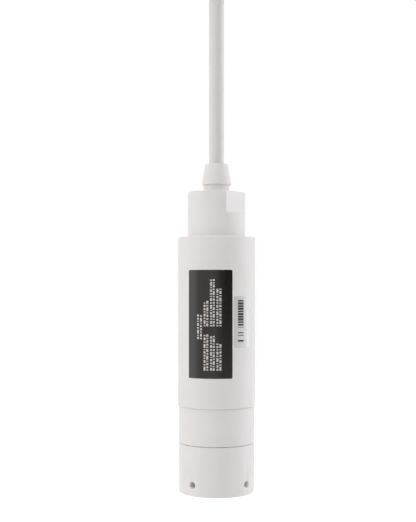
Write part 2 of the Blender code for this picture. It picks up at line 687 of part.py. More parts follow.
def make_conductors():
    """The cable's cores, which fan out to the terminal block, and its vent tube."""
    start = CABLE_END - SEAT
    landing = -(BOARD_FACE + TERMINAL_DEPTH / 2)
    radius = CORE_CIRCLE / 2
    finishes = ("red_wire", "yellow_wire", "blue_wire", "black_wire")
    angles = (135, 225, 315, 45)
    for pole, (finish, angle) in enumerate(zip(finishes, angles)):
        x, y = radius * cos(radians(angle)), radius * sin(radians(angle))
        pin = (pole - (TERMINAL_POLES - 1) / 2) * TERMINAL_PITCH
        drop = start - UPPER_HOLDER_TOP
        route = [
            (x, y, level(start)),
            (x, y, level(start - 0.2 * drop)),
            ((x + pin) / 2, (y + landing) / 2, level(start - 0.6 * drop)),
            (pin, landing, level(UPPER_HOLDER_TOP)),
            (pin, landing, level(TERMINAL_TOP + SEAT)),
        ]
        wire("core_%d" % (pole + 1), smooth_route(route), CORE_DIAMETER, finish)
    wire("vent_tube", [(0, 0, level(start)), (0, 0, level(start - VENT_LENGTH))],
         VENT_DIAMETER, "clear_tube")


def make_sensor_leads():
    """Leads from the back of the cell to the board's front face."""
    start = CELL_BASE + CELL_HEIGHT + SEAT
    clamp_top = CLAMP_RING_BASE + CLAMP_RING_HEIGHT
    window = -(WIRE_WINDOW_INNER + WIRE_WINDOW_OUTER) / 2
    face = -(BOARD_FACE + LEAD_DIAMETER / 2)
    finishes = ("red_wire", "black_wire", "yellow_wire", "blue_wire")
    for index, finish in enumerate(finishes):
        x = (index - (len(finishes) - 1) / 2) * LEAD_PITCH
        route = [
            (x, -LEAD_INSET, level(start)),
            (x, -LEAD_INSET, level(clamp_top)),
            (x, window, level(LOWER_HOLDER_BASE)),
            (x, window, level(LOWER_HOLDER_TOP)),
            (x, face, level((LOWER_HOLDER_TOP + 2 * LEAD_END) / 3)),
            (x, face, level(LEAD_END)),
        ]
        wire("sensor_lead_%d" % (index + 1), smooth_route(route), LEAD_DIAMETER, finish)


def make_holder(name, base, slot_side):
    """A disc in the tube that holds one end of the board; slot_side is 1 for the upper face."""
    disc = turned(name, [
        (0, 0, 0),
        (HOLDER_RADIUS, 0, 0),
        (HOLDER_RADIUS, HOLDER_THICKNESS, 0),
        (0, HOLDER_THICKNESS, 0),
    ], "black_resin", base, ROUND_SMALL)
    face = base + (HOLDER_THICKNESS if slot_side > 0 else 0)
    slot = block_shape((BOARD_WIDTH + 2 * FIT, BOARD_THICKNESS + 2 * FIT, 2 * HOLDER_SLOT_DEPTH))
    cut(disc, name + "_slot", slot, (0, 0, level(face)))
    depth = WIRE_WINDOW_OUTER - WIRE_WINDOW_INNER
    window = block_shape((WINDOW_LENGTH, depth, 3 * HOLDER_THICKNESS))
    cut(disc, name + "_window", window,
        (0, -(WIRE_WINDOW_INNER + depth / 2), level(base + HOLDER_THICKNESS / 2)))


def make_board():
    make_holder("lower_holder", LOWER_HOLDER_BASE, 1)
    make_holder("upper_holder", UPPER_HOLDER_BASE, -1)
    size = (BOARD_WIDTH, BOARD_THICKNESS, BOARD_TOP - BOARD_BASE)
    add_mesh("main_board", block_shape(size), "board", (0, 0, level((BOARD_BASE + BOARD_TOP) / 2)))
    chips = {
        "processor_chip": (PROCESSOR_SIZE, PROCESSOR_RISE),
        "bus_chip": (BUS_CHIP_SIZE, BUS_CHIP_RISE),
        "voltage_regulator": (REGULATOR_SIZE, REGULATOR_RISE),
    }
    for name, (size, rise) in chips.items():
        add_mesh(name, block_shape(size, CHIP_BEVEL), "black_resin",
                 (0, BOARD_FACE + size[1] / 2, level(LOWER_HOLDER_TOP + rise)))
    can = rounded([
        (0, 0, 0),
        (CAPACITOR_DIAMETER / 2, 0, EDGE_ROUND),
        (CAPACITOR_DIAMETER / 2, CAPACITOR_HEIGHT, EDGE_ROUND),
        (0, CAPACITOR_HEIGHT, 0),
    ])
    add_mesh("filter_capacitor", turned_shape(can, ROUND_TINY), "aluminium",
             (0, -BOARD_FACE, level(CAPACITOR_MIDDLE)), (pi / 2, 0, 0))
    add_mesh("surge_arrester", cylinder_shape(ARRESTER_DIAMETER / 2, ARRESTER_LENGTH, ROUND_TINY),
             "ceramic", (0, -(BOARD_FACE + ARRESTER_DIAMETER / 2), level(ARRESTER_MIDDLE)),
             (0, pi / 2, 0))


def make_terminal_block():
    size = (WINDOW_LENGTH, TERMINAL_DEPTH, TERMINAL_HEIGHT)
    middle = level((TERMINAL_BASE + TERMINAL_TOP) / 2)
    block = add_mesh("terminal_block", block_shape(size, CHIP_BEVEL), "terminal_green",
                     (0, -(BOARD_FACE + TERMINAL_DEPTH / 2), middle))
    for pole in range(TERMINAL_POLES):
        x = (pole - (TERMINAL_POLES - 1) / 2) * TERMINAL_PITCH
        drill = cylinder_shape(TERMINAL_SCREW_DIAMETER / 2, 2 * TERMINAL_SCREW_DEPTH, ROUND_TINY)
        cut(block, "terminal_screw_%d" % (pole + 1), drill,
            (x, -(BOARD_FACE + TERMINAL_DEPTH), middle), (pi / 2, 0, 0))


def clamp_outline():
    """Front view of the suspension clamp: a foot with leaning shoulders and a round lug."""
    half = CLAMP_WIDTH / 2
    lug = CLAMP_LUG_DIAMETER / 2
    lean = acos(lug / hypot(half, CLAMP_SHOULDER)) - atan2(CLAMP_SHOULDER, half)
    foot = rounded([
        (-half, -CLAMP_SHOULDER, CLAMP_CORNER),
        (-half, -CLAMP_BELOW_EYE, CLAMP_CORNER),
        (half, -CLAMP_BELOW_EYE, CLAMP_CORNER),
        (half, -CLAMP_SHOULDER, CLAMP_CORNER),
        (lug * cos(lean), lug * sin(lean), 0),
        (-lug * cos(lean), lug * sin(lean), 0),
    ])[:-2]
    steps = 12
    arc = [
        Vector((lug * cos(angle), lug * sin(angle)))
        for angle in (lean + (pi - 2 * lean) * step / steps for step in range(steps + 1))
    ]
    return foot + arc


def make_clamp_half(name, side):
    """One half of the suspension clamp; side is -1 for the front half, 1 for the back half."""
    inner, outer = side * SEAT / 2, side * CLAMP_DEPTH / 2
    shape = prism_shape(clamp_outline(), inner, outer)
    rim = [edge for edge in shape.edges
           if all(abs(point.co.y - outer) < 1e-6 for point in edge.verts)]
    bmesh.ops.bevel(shape, geom=rim, offset=CLAMP_EDGE, segments=2, profile=0.5,
                    affect="EDGES", clamp_overlap=True)
    half = add_mesh(name, shape, "nylon")
    channel_length = CLAMP_BELOW_EYE - CLAMP_CHANNEL_TOP
    channel = cylinder_shape(CABLE_BORE_RADIUS, 2 * channel_length, ROUND_TINY)
    cut(half, name + "_channel", channel, (0, 0, -CLAMP_BELOW_EYE))
    turn = (pi / 2, 0, 0)
    eye = cylinder_shape(EYE_DIAMETER / 2, 2 * CLAMP_DEPTH, ROUND_TINY + 4)
    cut(half, name + "_eye", eye, (0, 0, 0), turn)
    for x_side, label in ((-1, "left"), (1, "right")):
        drill = cylinder_shape(SCREW_DIAMETER / 2 + FIT, 2 * CLAMP_DEPTH, ROUND_TINY)
        cut(half, name + "_hole_" + label, drill,
            (x_side * CLAMP_SCREW_SPACING / 2, 0, -CLAMP_SCREW_DROP), turn)


def make_clamp_fasteners():
    shank = CLAMP_DEPTH + 2 * SEAT + NUT_HEX_HEIGHT + SCREW_TIP
    radius = SCREW_DIAMETER / 2
    for side, label in ((-1, "left"), (1, "right")):
        x = side * CLAMP_SCREW_SPACING / 2
        front = -(CLAMP_DEPTH / 2 + SEAT)
        corners = rounded([
            (0, -shank, 0),
            (radius, -shank, EDGE_ROUND),
            (radius, 0, 0),
            (SCREW_HEAD_DIAMETER / 2, 0, 0),
            (SCREW_HEAD_DIAMETER / 2, SCREW_HEAD_HEIGHT, EDGE_ROUND),
            (0, SCREW_HEAD_HEIGHT, 0),
        ])
        turn = (pi / 2, 0, 0)
        screw = add_mesh("clamp_screw_" + label, turned_shape(corners, ROUND_TINY), "steel",
                         (x, front, -CLAMP_SCREW_DROP), turn)
        socket = cylinder_shape(SCREW_SOCKET / sqrt(3), 2 * SCREW_SOCKET_DEPTH, 6)
        cut(screw, "socket_" + label, socket, (x, front - SCREW_HEAD_HEIGHT, -CLAMP_SCREW_DROP),
            turn)
        centre = (x, CLAMP_DEPTH / 2 + SEAT + NUT_HEX_HEIGHT / 2, -CLAMP_SCREW_DROP)
        nut = add_mesh("clamp_nut_" + label,
                       cylinder_shape(NUT_HEX_WIDTH / sqrt(3), NUT_HEX_HEIGHT, 6), "steel",
                       centre, turn)
        cut(nut, "nut_bore_" + label,
            cylinder_shape(radius + CABLE_FIT, 2 * NUT_HEX_HEIGHT, ROUND_TINY), centre, turn)


def main():
    clear_scene()
    make_nose_cap()
    make_nose_gasket()
    make_sensor_carrier()
    make_pressure_cell()
    make_sensor_leads()
    make_body_tube()
    make_labels()
    make_board()
    make_terminal_block()
    make_head()
    make_gland()
    make_cable()
    make_conductors()
    make_clamp_half("clamp_front", -1)
    make_clamp_half("clamp_back", 1)
    make_clamp_fasteners()


main()
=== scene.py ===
"""Looks of the submersible level transmitter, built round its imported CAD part.

Metres, +Z up, front towards -Y, in the CAD's frame: the origin is the centre of the suspension
clamp's eye, and the probe hangs below it on the Z axis. Heights of the probe are measured upwards
from the flat end of its nose, and level() turns them into Z. Angles round the probe are in
degrees from the front, towards +X.
"""

from math import acos, atan2, cos, hypot, pi, radians, sin, sqrt, tan

import bmesh
import bpy
from mathutils import Matrix, Vector


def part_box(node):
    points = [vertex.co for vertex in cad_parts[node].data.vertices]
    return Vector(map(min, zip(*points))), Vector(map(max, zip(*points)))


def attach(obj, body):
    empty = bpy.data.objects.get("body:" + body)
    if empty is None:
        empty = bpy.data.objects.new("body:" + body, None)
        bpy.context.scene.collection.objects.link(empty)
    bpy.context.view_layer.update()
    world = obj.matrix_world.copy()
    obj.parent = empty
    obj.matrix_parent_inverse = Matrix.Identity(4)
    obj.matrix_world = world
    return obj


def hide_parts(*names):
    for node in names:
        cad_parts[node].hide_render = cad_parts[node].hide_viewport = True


# Smoothness
SIDES = 176              # round the housing
SIDES_SMALL = 112        # round the gland
SIDES_SCREW = 64         # round a clamp screw
SIDES_NUT = 72           # round a clamp nut
SIDES_EYE = 96           # round the clamp's eye
SIDES_CHANNEL = 64       # round its channel for the cable
ARC_STEPS = 6            # segments in a rounded edge
LUG_STEPS = 36           # segments round the top of the clamp
TICKS_PER_PITCH = 14     # rows of mesh in one turn of a thread
CABLE_POINTS = 24
CABLE_SMOOTHNESS = 14

# Camera, level and in front of the probe
CAMERA_PLACE = (-0.00445, -0.505, -0.1885)
CAMERA_SENSOR = 36
CAMERA_LENS = 67.1
CAMERA_SHIFT = 0.0498

# Studio: white all round, and dimmer about one direction at the camera's side. Each dim patch
# has its angle, the degrees from there to where it begins and ends to fade, and its share.
STUDIO_LIGHT = (0.875, 0.848, 0.838)
LIGHT_DIM = (27.0, 28.0, 62.0, 0.12)
GLOSS_DIM = (42.0, 5.0, 50.0, 0.06)
FLOOR_LEVEL = -0.64
FLOOR_SIZE = 9.0
FLOOR_COLOUR = (0.86, 0.86, 0.86)
FLOOR_ROUGHNESS = 0.9
FLOOR_SPECULAR = 0.1
FLOOR_GLOW = 0.36
LAMP_TARGET = (0, 0, -0.19)

# The lines left between the pieces, finer than the gaps between the CAD solids
BAND_LINE = 0.00006
CAP_LINE = 0.00020
NUT_LINE = 0.00002
CLAMP_LINE = 0.00006

# Forms that differ a little from the CAD's, as the photo shows them. The gland nut's lower end
# sits higher by its lift.
NOSE_EDGE = 0.0003
BAND_BASE = 0.02535
HEAD_SHOULDER = 0.13115
HEAD_ROOT = 0.0006
NUT_LIFT = 0.00045
NUT_TOP_ROUND = 0.0005

# Threads, which the solids leave plain. Crest and flank are shares of half a pitch.
CAP_THREAD_PITCH = 0.0020
CAP_THREAD_DEPTH = 0.0009
CAP_THREAD_START = 0.0012
CAP_THREAD_END = 0.0008
CARRIER_THREAD_START = 0.0006
NECK_THREAD_PITCH = 0.0015
NECK_THREAD_DEPTH = 0.0006
NECK_LEAD = 0.0003
SCREW_THREAD_PITCH = 0.0007
SCREW_THREAD_DEPTH = 0.00035
SCREW_THREAD_END = 0.0080
CREST_SHARE = 0.15
FLANK_SHARE = 0.6

# Roundings and chamfers of edges that have no size of their own
EDGE_FINE = 0.0001
EDGE_SMALL = 0.0002
EDGE = 0.0003
EDGE_WIDE = 0.0004
GROOVE_EDGE = 0.00012
GASKET_EDGE = 0.00015
PORT_EDGE = 0.00012
LEDGE_EDGE = 0.0004
FLAT_EDGE = 0.00014
NUT_BEVEL_EDGE = 0.00025
SCREW_HEAD_EDGE = 0.0005

# Sizes that the solids of the CAD part also have
CAP_FLOOR = 0.0024
CHAMBER_RADIUS = 0.0135
CHAMBER_HEIGHT = 0.0086
CHAMBER_FILLET = 0.0010
CAP_BORE_RADIUS = 0.0163
CAP_THREAD_RADIUS = 0.0160
PORT_RADIUS = 0.0018
PORT_HEIGHT = 0.0056
PORT_FIRST_ANGLE = -39.5
PORT_COUNT = 4
WINDOW_RADIUS = 0.0085
LIP_THICKNESS = 0.0024
CELL_BORE_RADIUS = 0.0123
BAND_TOP = 0.0442
BAND_RADIUS = 0.0195
RELIEF_HEIGHT = 0.0016
RELIEF_RADIUS = 0.0152
SPIGOT_RADIUS = 0.0156
SPIGOT_GROOVE_RADIUS = 0.0140
SPIGOT_GROOVE_HEIGHT = 0.0019
SPIGOT_GROOVE_EDGE = 0.0024
SOCKET_RADIUS = 0.0159
BODY_BORE_RADIUS = 0.0150
LOWER_SOCKET_DEPTH = 0.0130
UPPER_SOCKET_DEPTH = 0.0139
BODY_RADIUS = 0.0200
BODY_TOP_ROUND = 0.0006
HEAD_RADIUS = 0.01485
HEAD_TOP = 0.1545
HEAD_ROUND = 0.0005
HEAD_BORE_RADIUS = 0.0120
HEAD_POCKET_RADIUS = 0.0085
HEAD_POCKET_BASE = 0.1327
HEAD_CEILING = 0.1460
FLAT_DISTANCE = 0.0120
FLAT_HEIGHT = 0.0116
FLAT_CORNER = 0.0010
FLAT_ANGLE = 55.0
NECK_RADIUS = 0.0067
NECK_THREAD_RADIUS = 0.0057
NECK_MOUTH_DEPTH = 0.0020
CABLE_RADIUS = 0.0039
CABLE_BORE_RADIUS = 0.0041
SLEEVE_RADIUS = 0.0050
NUT_BASE_RADIUS = 0.007675
NUT_TOP_RADIUS = 0.00595
NUT_BEVEL = 0.0009
NUT_ROOF = 0.0017
NUT_BORE_RADIUS = 0.0060
NUT_CAVITY_RADIUS = 0.0053
NUT_CAVITY_BASE = 0.0055
CLAMP_WIDTH = 0.0280
CLAMP_DEPTH = 0.0140
CLAMP_BELOW_EYE = 0.0320
CLAMP_SHOULDER = 0.0140
CLAMP_LUG_RADIUS = 0.0105
CLAMP_CORNER = 0.0025
CLAMP_EDGE = 0.0010
EYE_RADIUS = 0.0055
SCREW_SPACING = 0.0190
SCREW_DROP = 0.0230
SCREW_RADIUS = 0.0020
SCREW_HEAD_RADIUS = 0.0035
SCREW_HEAD_HEIGHT = 0.0028
SOCKET_WIDTH = 0.0030
SOCKET_DEPTH = 0.0015
NUT_HEX_WIDTH = 0.0070
NUT_HEX_HEIGHT = 0.0032
SEAT = 0.0003            # between two faces that touch

# Smaller details of the pieces
GASKET_INSET = 0.0003
SLEEVE_TIP = 0.0007
SLEEVE_STEP = 0.0003
CUTTER_REACH = 0.03      # past everything that a flat's cutter has to clear
NEAR = 0.00003           # how far off its surface a corner may be
CREASE = 25              # degrees between the faces of an edge that gets rounded
CREASE_OF_RIM = 40       # and of a rim
ALIGNED = 0.9999         # cosine between directions that count as the same
CLAMP_SCREW_FIT = 0.0003
CLAMP_NUT_FIT = 0.0002
SLOT_COUNT = 4
SLOT_PITCH = 0.0042
SLOT_HALF = 0.0013
SLOT_TOP = 0.0128
SLOT_END = 0.0288
SLOT_END_OUTER = 0.0178
SLOT_CORNER = 0.0006
SLOT_DEPTH = 0.0008
SLOT_OVERSHOOT = 0.002
KNURL_START = 0.0006
KNURL_RIM = 0.0002
KNURL_SHARE = 0.02
KNURL_COUNT = 32
# Rows of a clamp nut's mesh from either face, where its chamfer starts, and how steep it is
CHAMFER_ROWS = (0, 0.0001, 0.0002, 0.0003, 0.00045, 0.0006)
CHAMFER_START = 0.97
CHAMFER_SLOPE = 1.9

# Labels, thinner and closer to the body than the CAD's: angles, then heights
LABEL_PLACE = (-44.45, 22.8, 0.0597, 0.11405)
STICKER_PLACE = (25.8, 56.6, 0.0751, 0.10085)
LABEL_CORNER = 0.0006
LABEL_INNER_RADIUS = 0.02001
LABEL_OUTER_RADIUS = 0.02013
PRINT_BASE_RADIUS = LABEL_OUTER_RADIUS - 0.00001
PRINT_RADIUS = 0.02015
PLATE_SPAN = 1.6         # degrees in a facet of a label
STRIPE_SPAN = 2.5        # and of a bar
PLATE_STEPS = 5          # segments in a label's corner
# Rows of plain rules in place of the label's writing: angles, then heights
MARK_LINES = [
    (-29.4, -21.9, 0.0794, 0.0926),
    (-19.3, -12.4, 0.0859, 0.0988),
    (-19.3, -12.4, 0.0638, 0.0818),
    (-9.8, -3.1, 0.0859, 0.1097),
    (-9.8, -3.1, 0.0638, 0.0813),
    (-0.7, 6.4, 0.0859, 0.1056),
    (-0.7, 6.4, 0.0638, 0.0773),
]
# Two rules side by side make a row, broken into dashes; their breadth is in degrees
MARK_RULES = 2
MARK_BREADTH = 2.8
MARK_LENGTHS = (0.0011, 0.0005, 0.0019, 0.0007, 0.0014, 0.0006, 0.0009)
MARK_SPACE = 0.0006
MARK_SHIFT = 3           # lengths by which the second rule's dashes are ahead
STRIPE_PLACE = (31.7, 42.0, 0.0778, 0.0993)
STRIPE_PITCH = 0.00134
STRIPES_ABOVE = (0.92, 0.76, 0.88, 0.62)
STRIPES_BELOW = (0.70, 0.0, 0.30, 0.42, 0.0, 0.20)
STRIPES_CHANGE = 0.42

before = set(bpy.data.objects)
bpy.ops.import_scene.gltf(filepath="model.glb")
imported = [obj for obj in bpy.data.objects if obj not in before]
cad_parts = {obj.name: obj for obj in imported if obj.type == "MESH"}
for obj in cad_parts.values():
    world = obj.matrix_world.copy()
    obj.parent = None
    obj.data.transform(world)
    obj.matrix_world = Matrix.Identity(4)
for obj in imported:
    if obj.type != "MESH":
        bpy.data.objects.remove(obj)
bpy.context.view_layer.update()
NOSE_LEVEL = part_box("nose_cap")[0][2]


def level(height):
    """World Z of a height above the nose's flat end."""
    return height + NOSE_LEVEL


def facing(angle, radius, z):
    """Point at an angle in degrees from the front, towards +X."""
    return Vector((radius * sin(radians(angle)), -radius * cos(radians(angle)), z))


def make_camera():
    camera = bpy.data.objects.new("camera", bpy.data.cameras.new("camera"))
    camera.location = CAMERA_PLACE
    camera.rotation_euler = (pi / 2, 0, 0)
    camera.data.sensor_width = CAMERA_SENSOR
    camera.data.lens = CAMERA_LENS
    camera.data.shift_y = CAMERA_SHIFT
    bpy.context.collection.objects.link(camera)
    bpy.context.scene.camera = camera


class Finish:
    """A Principled material whose fields of noise drive its colour, roughness and relief."""

    def __init__(self, name, colour, roughness, **inputs):
        self.material = bpy.data.materials.new(name)
        self.material.use_nodes = True
        self.tree = self.material.node_tree
        self.shader = self.tree.nodes["Principled BSDF"]
        self.shader.inputs["Base Color"].default_value = (*colour, 1.0)
        self.shader.inputs["Roughness"].default_value = roughness
        for socket, value in inputs.items():
            self.shader.inputs[socket.replace("_", " ")].default_value = value
        self.material.diffuse_color = (*colour, 1.0)
        self.colour = colour
        self.surface = None

    def link(self, source, target):
        self.tree.links.new(source, target)

    def noise(self, scale, stretch=(1, 1, 1), detail=2.0):
        """Noise with scale cells to the metre, stretched along the object's axes."""
        place = self.tree.nodes.new("ShaderNodeTexCoord")
        mapping = self.tree.nodes.new("ShaderNodeMapping")
        mapping.inputs["Scale"].default_value = [scale * part for part in stretch]
        field = self.tree.nodes.new("ShaderNodeTexNoise")
        field.inputs["Scale"].default_value = 1.0
        field.inputs["Detail"].default_value = detail
        self.link(place.outputs["Object"], mapping.inputs["Vector"])
        self.link(mapping.outputs["Vector"], field.inputs["Vector"])
        return field.outputs["Fac"]

    def grains(self, scale):
        """Rounded cells, scale to the metre."""
        place = self.tree.nodes.new("ShaderNodeTexCoord")
        field = self.tree.nodes.new("ShaderNodeTexVoronoi")
        field.inputs["Scale"].default_value = scale
        self.link(place.outputs["Object"], field.inputs["Vector"])
        return field.outputs["Distance"]

    def vary_roughness(self, field, low, high):
        span = self.tree.nodes.new("ShaderNodeMapRange")
        span.inputs["From Min"].default_value = 0.3
        span.inputs["From Max"].default_value = 0.7
        span.inputs["To Min"].default_value = low
        span.inputs["To Max"].default_value = high
        self.link(field, span.inputs["Value"])
        self.link(span.outputs["Result"], self.shader.inputs["Roughness"])
        return self

    def vary_colour(self, field, other, sharp=0.2):
        """Blend towards another colour where the field is high."""
        ramp = self.tree.nodes.new("ShaderNodeValToRGB")
        ramp.color_ramp.elements[0].position = 0.5 - sharp
        ramp.color_ramp.elements[0].color = (*self.colour, 1.0)
        ramp.color_ramp.elements[1].position = 0.5 + sharp
        ramp.color_ramp.elements[1].color = (*other, 1.0)
        self.link(field, ramp.inputs["Fac"])
        self.link(ramp.outputs["Color"], self.shader.inputs["Base Color"])
        return self

    def relief(self, field, depth, strength=1.0):
        """Bump of that depth in metres, on top of any before it."""
        bump = self.tree.nodes.new("ShaderNodeBump")
        bump.inputs["Strength"].default_value = strength
        bump.inputs["Distance"].default_value = depth
        self.link(field, bump.inputs["Height"])
        if self.surface:
            self.link(self.surface, bump.inputs["Normal"])
        self.surface = bump.outputs["Normal"]
        self.link(self.surface, self.shader.inputs["Normal"])
        return self


def turned_finish(name, colour, roughness, ring_depth, **inputs):
    """Machined plastic: fine rings from the lathe over a faint unevenness."""
    finish = Finish(name, colour, roughness, **inputs)
    rings = finish.noise(9000, (0.004, 0.004, 1.0), 3.0)
    finish.relief(finish.noise(240, detail=1.0), 0.000006)
    finish.relief(rings, ring_depth)
    finish.vary_roughness(finish.noise(700, detail=3.0), roughness - 0.05, roughness + 0.06)
    return finish


def make_finishes():
    """Every finish by its slot in the record, and a few that only the scene needs."""
    white = (0.83, 0.822, 0.815)
    plastic = turned_finish("machined_white", white, 0.46, 0.000002, Specular_IOR_Level=0.3,
                            Subsurface_Weight=0.12, Subsurface_Scale=0.0012,
                            Subsurface_Radius=(1.0, 0.8, 0.65))
    plastic.vary_colour(plastic.noise(60, detail=1.0), (0.815, 0.806, 0.797))
    milled = Finish("milled_white", white, 0.42, Specular_IOR_Level=0.3,
                    Subsurface_Weight=0.12, Subsurface_Scale=0.0012,
                    Subsurface_Radius=(1.0, 0.8, 0.65))
    milled.relief(milled.noise(1500, (1.0, 1.0, 0.25)), 0.000003)
    sheath = Finish("sheath_white", (0.744, 0.729, 0.720), 0.34, Specular_IOR_Level=0.62,
                    Subsurface_Weight=0.08, Subsurface_Scale=0.001)
    sheath.relief(sheath.noise(2600, (1.0, 1.0, 0.3), 3.0), 0.000012)
    sheath.relief(sheath.noise(260, (1.0, 1.0, 0.12), 1.0), 0.00003)
    sheath.vary_roughness(sheath.noise(900), 0.29, 0.39)
    black = Finish("rubber_black", (0.018, 0.018, 0.018), 0.6)
    black.relief(black.grains(6000), 0.000006).vary_roughness(black.noise(900), 0.5, 0.7)
    grey = Finish("rubber_grey", (0.30, 0.30, 0.30), 0.66)
    grey.relief(grey.grains(5200), 0.000006).vary_roughness(grey.noise(900), 0.58, 0.74)
    gasket = Finish("gasket_fibre", (0.70, 0.69, 0.66), 0.62)
    gasket.relief(gasket.noise(5200, detail=4.0), 0.000012)
    gasket.vary_colour(gasket.noise(2600), (0.62, 0.61, 0.58))
    ceramic = Finish("ceramic_fired", (0.86, 0.84, 0.78), 0.34)
    ceramic.relief(ceramic.grains(9000), 0.000003)
    ceramic.vary_roughness(ceramic.noise(1800), 0.26, 0.42)
    label = Finish("label_black", (0.0046, 0.0041, 0.0038), 0.22, Specular_IOR_Level=0.56,
                   Specular_Tint=(1.0, 0.95, 0.91, 1.0))
    label.relief(label.noise(1600, detail=2.0), 0.000001)
    label.vary_roughness(label.noise(420, detail=2.0), 0.20, 0.25)
    ink = Finish("label_ink", (0.62, 0.60, 0.585), 0.5)
    ink.relief(ink.noise(5000), 0.000003)
    paper = Finish("paper_white", (0.665, 0.665, 0.665), 0.24, Specular_IOR_Level=0.9)
    paper.relief(paper.noise(4200, detail=4.0), 0.000003)
    dark_ink = Finish("sticker_ink", (0.022, 0.021, 0.020), 0.55)
    dark_ink.vary_roughness(dark_ink.noise(3000), 0.48, 0.62)
    board = Finish("board_green", (0.012, 0.13, 0.055), 0.36)
    board.relief(board.noise(1600, (1.0, 1.0, 1.0), 1.0), 0.000008)
    board.vary_colour(board.noise(520, detail=0.0), (0.02, 0.19, 0.08), 0.04)
    resin = Finish("resin_black", (0.022, 0.022, 0.024), 0.48)
    resin.relief(resin.grains(7000), 0.000008).vary_roughness(resin.noise(1200), 0.42, 0.56)
    green = Finish("terminal_green", (0.03, 0.27, 0.09), 0.46)
    green.relief(green.grains(5200), 0.000008).vary_roughness(green.noise(900), 0.4, 0.55)
    aluminium = Finish("aluminium_can", (0.74, 0.74, 0.75), 0.32, Metallic=1.0)
    aluminium.relief(aluminium.noise(9000, (0.05, 1.0, 0.05)), 0.000003)
    steel = Finish("steel_turned", (0.60, 0.60, 0.61), 0.30, Metallic=1.0)
    steel.relief(steel.noise(7000, (1.0, 0.05, 1.0)), 0.000003)
    steel.vary_roughness(steel.noise(1400, detail=3.0), 0.24, 0.40)
    nylon = Finish("nylon_moulded", (0.062, 0.063, 0.066), 0.5)
    nylon.relief(nylon.grains(3800), 0.000022).relief(nylon.noise(9000), 0.000004)
    nylon.vary_roughness(nylon.noise(500, detail=3.0), 0.44, 0.6)
    tube = Finish("tube_clear", (0.86, 0.88, 0.88), 0.14, Transmission_Weight=0.7, IOR=1.42)
    tube.relief(tube.noise(700, (1.0, 1.0, 0.2)), 0.000008)
    finishes = {
        "white_plastic": plastic, "milled_plastic": milled, "white_sheath": sheath,
        "seal_rubber": black, "grey_rubber": grey, "soft_gasket": gasket, "ceramic": ceramic,
        "black_label": label, "label_ink": ink, "paper": paper, "sticker_ink": dark_ink,
        "board": board, "black_resin": resin, "terminal_green": green, "aluminium": aluminium,
        "steel": steel, "nylon": nylon, "clear_tube": tube,
    }
    wires = {"red_wire": (0.50, 0.02, 0.015), "blue_wire": (0.02, 0.07, 0.42),
             "yellow_wire": (0.70, 0.48, 0.02), "black_wire": (0.015, 0.015, 0.015)}
    for slot, colour in wires.items():
        wire = Finish(slot + "_sheath", colour, 0.42)
        wire.relief(wire.noise(2600, (1.0, 1.0, 0.2)), 0.000006)
        finishes[slot] = wire.vary_roughness(wire.noise(900), 0.36, 0.5)
    return {slot: finish.material for slot, finish in finishes.items()}


FINISHES = make_finishes()


def rounded(corners, steps=ARC_STEPS):
    """Closed outline through (x, y, radius) corners, each rounded by an arc."""
    points = []
    for index, (x, y, radius) in enumerate(corners):
        corner = Vector((x, y))
        if radius == 0:
            points.append(corner)
            continue
        before = (Vector(corners[index - 1][:2]) - corner).normalized()
        after = (Vector(corners[(index + 1) % len(corners)][:2]) - corner).normalized()
        half = before.angle(after) / 2
        centre = corner + (before + after).normalized() * radius / sin(half)
        start = corner + before * radius / tan(half) - centre
        end = corner + after * radius / tan(half) - centre
        first = atan2(start.y, start.x)
        sweep = atan2(start.x * end.y - start.y * end.x, start.dot(end))
        for step in range(steps + 1):
            angle = first + sweep * step / steps
            points.append(centre + radius * Vector((cos(angle), sin(angle))))
    return points


def add_mesh(name, shape, finish, sharp=30):
    """Turn a bmesh into an object with a finish, smooth but for its sharp edges."""
    bmesh.ops.recalc_face_normals(shape, faces=shape.faces)
    mesh = bpy.data.meshes.new(name)
    shape.to_mesh(mesh)
    shape.free()
    mesh.shade_smooth()
    mesh.set_sharp_from_angle(angle=radians(sharp))
    item = bpy.data.objects.new(name, mesh)
    bpy.context.collection.objects.link(item)
    if finish:
        mesh.materials.append(FINISHES[finish])
    return item


def thread_cut(radius, z, thread):
    """How far a (crest radius, low, high, pitch, depth) thread moves a point of angle share."""
    crest, low, high, pitch, depth, share = thread
    if abs(radius - crest) > 1e-6 or not low <= z <= high:
        return 0.0
    phase = ((z - low) / pitch - share) % 1.0
    away = 2 * min(phase, 1 - phase)
    fade = min(1.0, (z - low) / pitch, (high - z) / pitch)
    return depth * fade * min(1.0, max(0.0, (away - CREST_SHARE) / FLANK_SHARE))


def spin(outline, sides, thread=None):
    """Spin a closed (radius, height) outline about Z; thread is (radius, low, high, pitch, depth)."""
    shape = bmesh.new()
    poles = {index: shape.verts.new((0, 0, z))
             for index, (x, z) in enumerate(outline) if x < 1e-9}
    columns = []
    for side in range(sides):
        angle = 2 * pi * side / sides
        column = []
        for index, (x, z) in enumerate(outline):
            if index in poles:
                column.append(poles[index])
                continue
            if thread:
                x -= thread_cut(x, z, (*thread, side / sides))
            column.append(shape.verts.new((x * cos(angle), x * sin(angle), z)))
        columns.append(column)
    count = len(outline)
    for side in range(sides):
        here, there = columns[side], columns[(side + 1) % sides]
        for index in range(count):
            after = (index + 1) % count
            face = []
            for vert in (here[index], there[index], there[after], here[after]):
                if vert not in face:
                    face.append(vert)
            if len(face) > 2:
                shape.faces.new(face)
    return shape


def thread_rows(radius, low, high, pitch):
    """Corners along a thread, close enough together to carry it."""
    rows = round((high - low) / pitch * TICKS_PER_PITCH)
    return [(radius, low + (high - low) * row / rows, 0) for row in range(rows + 1)]


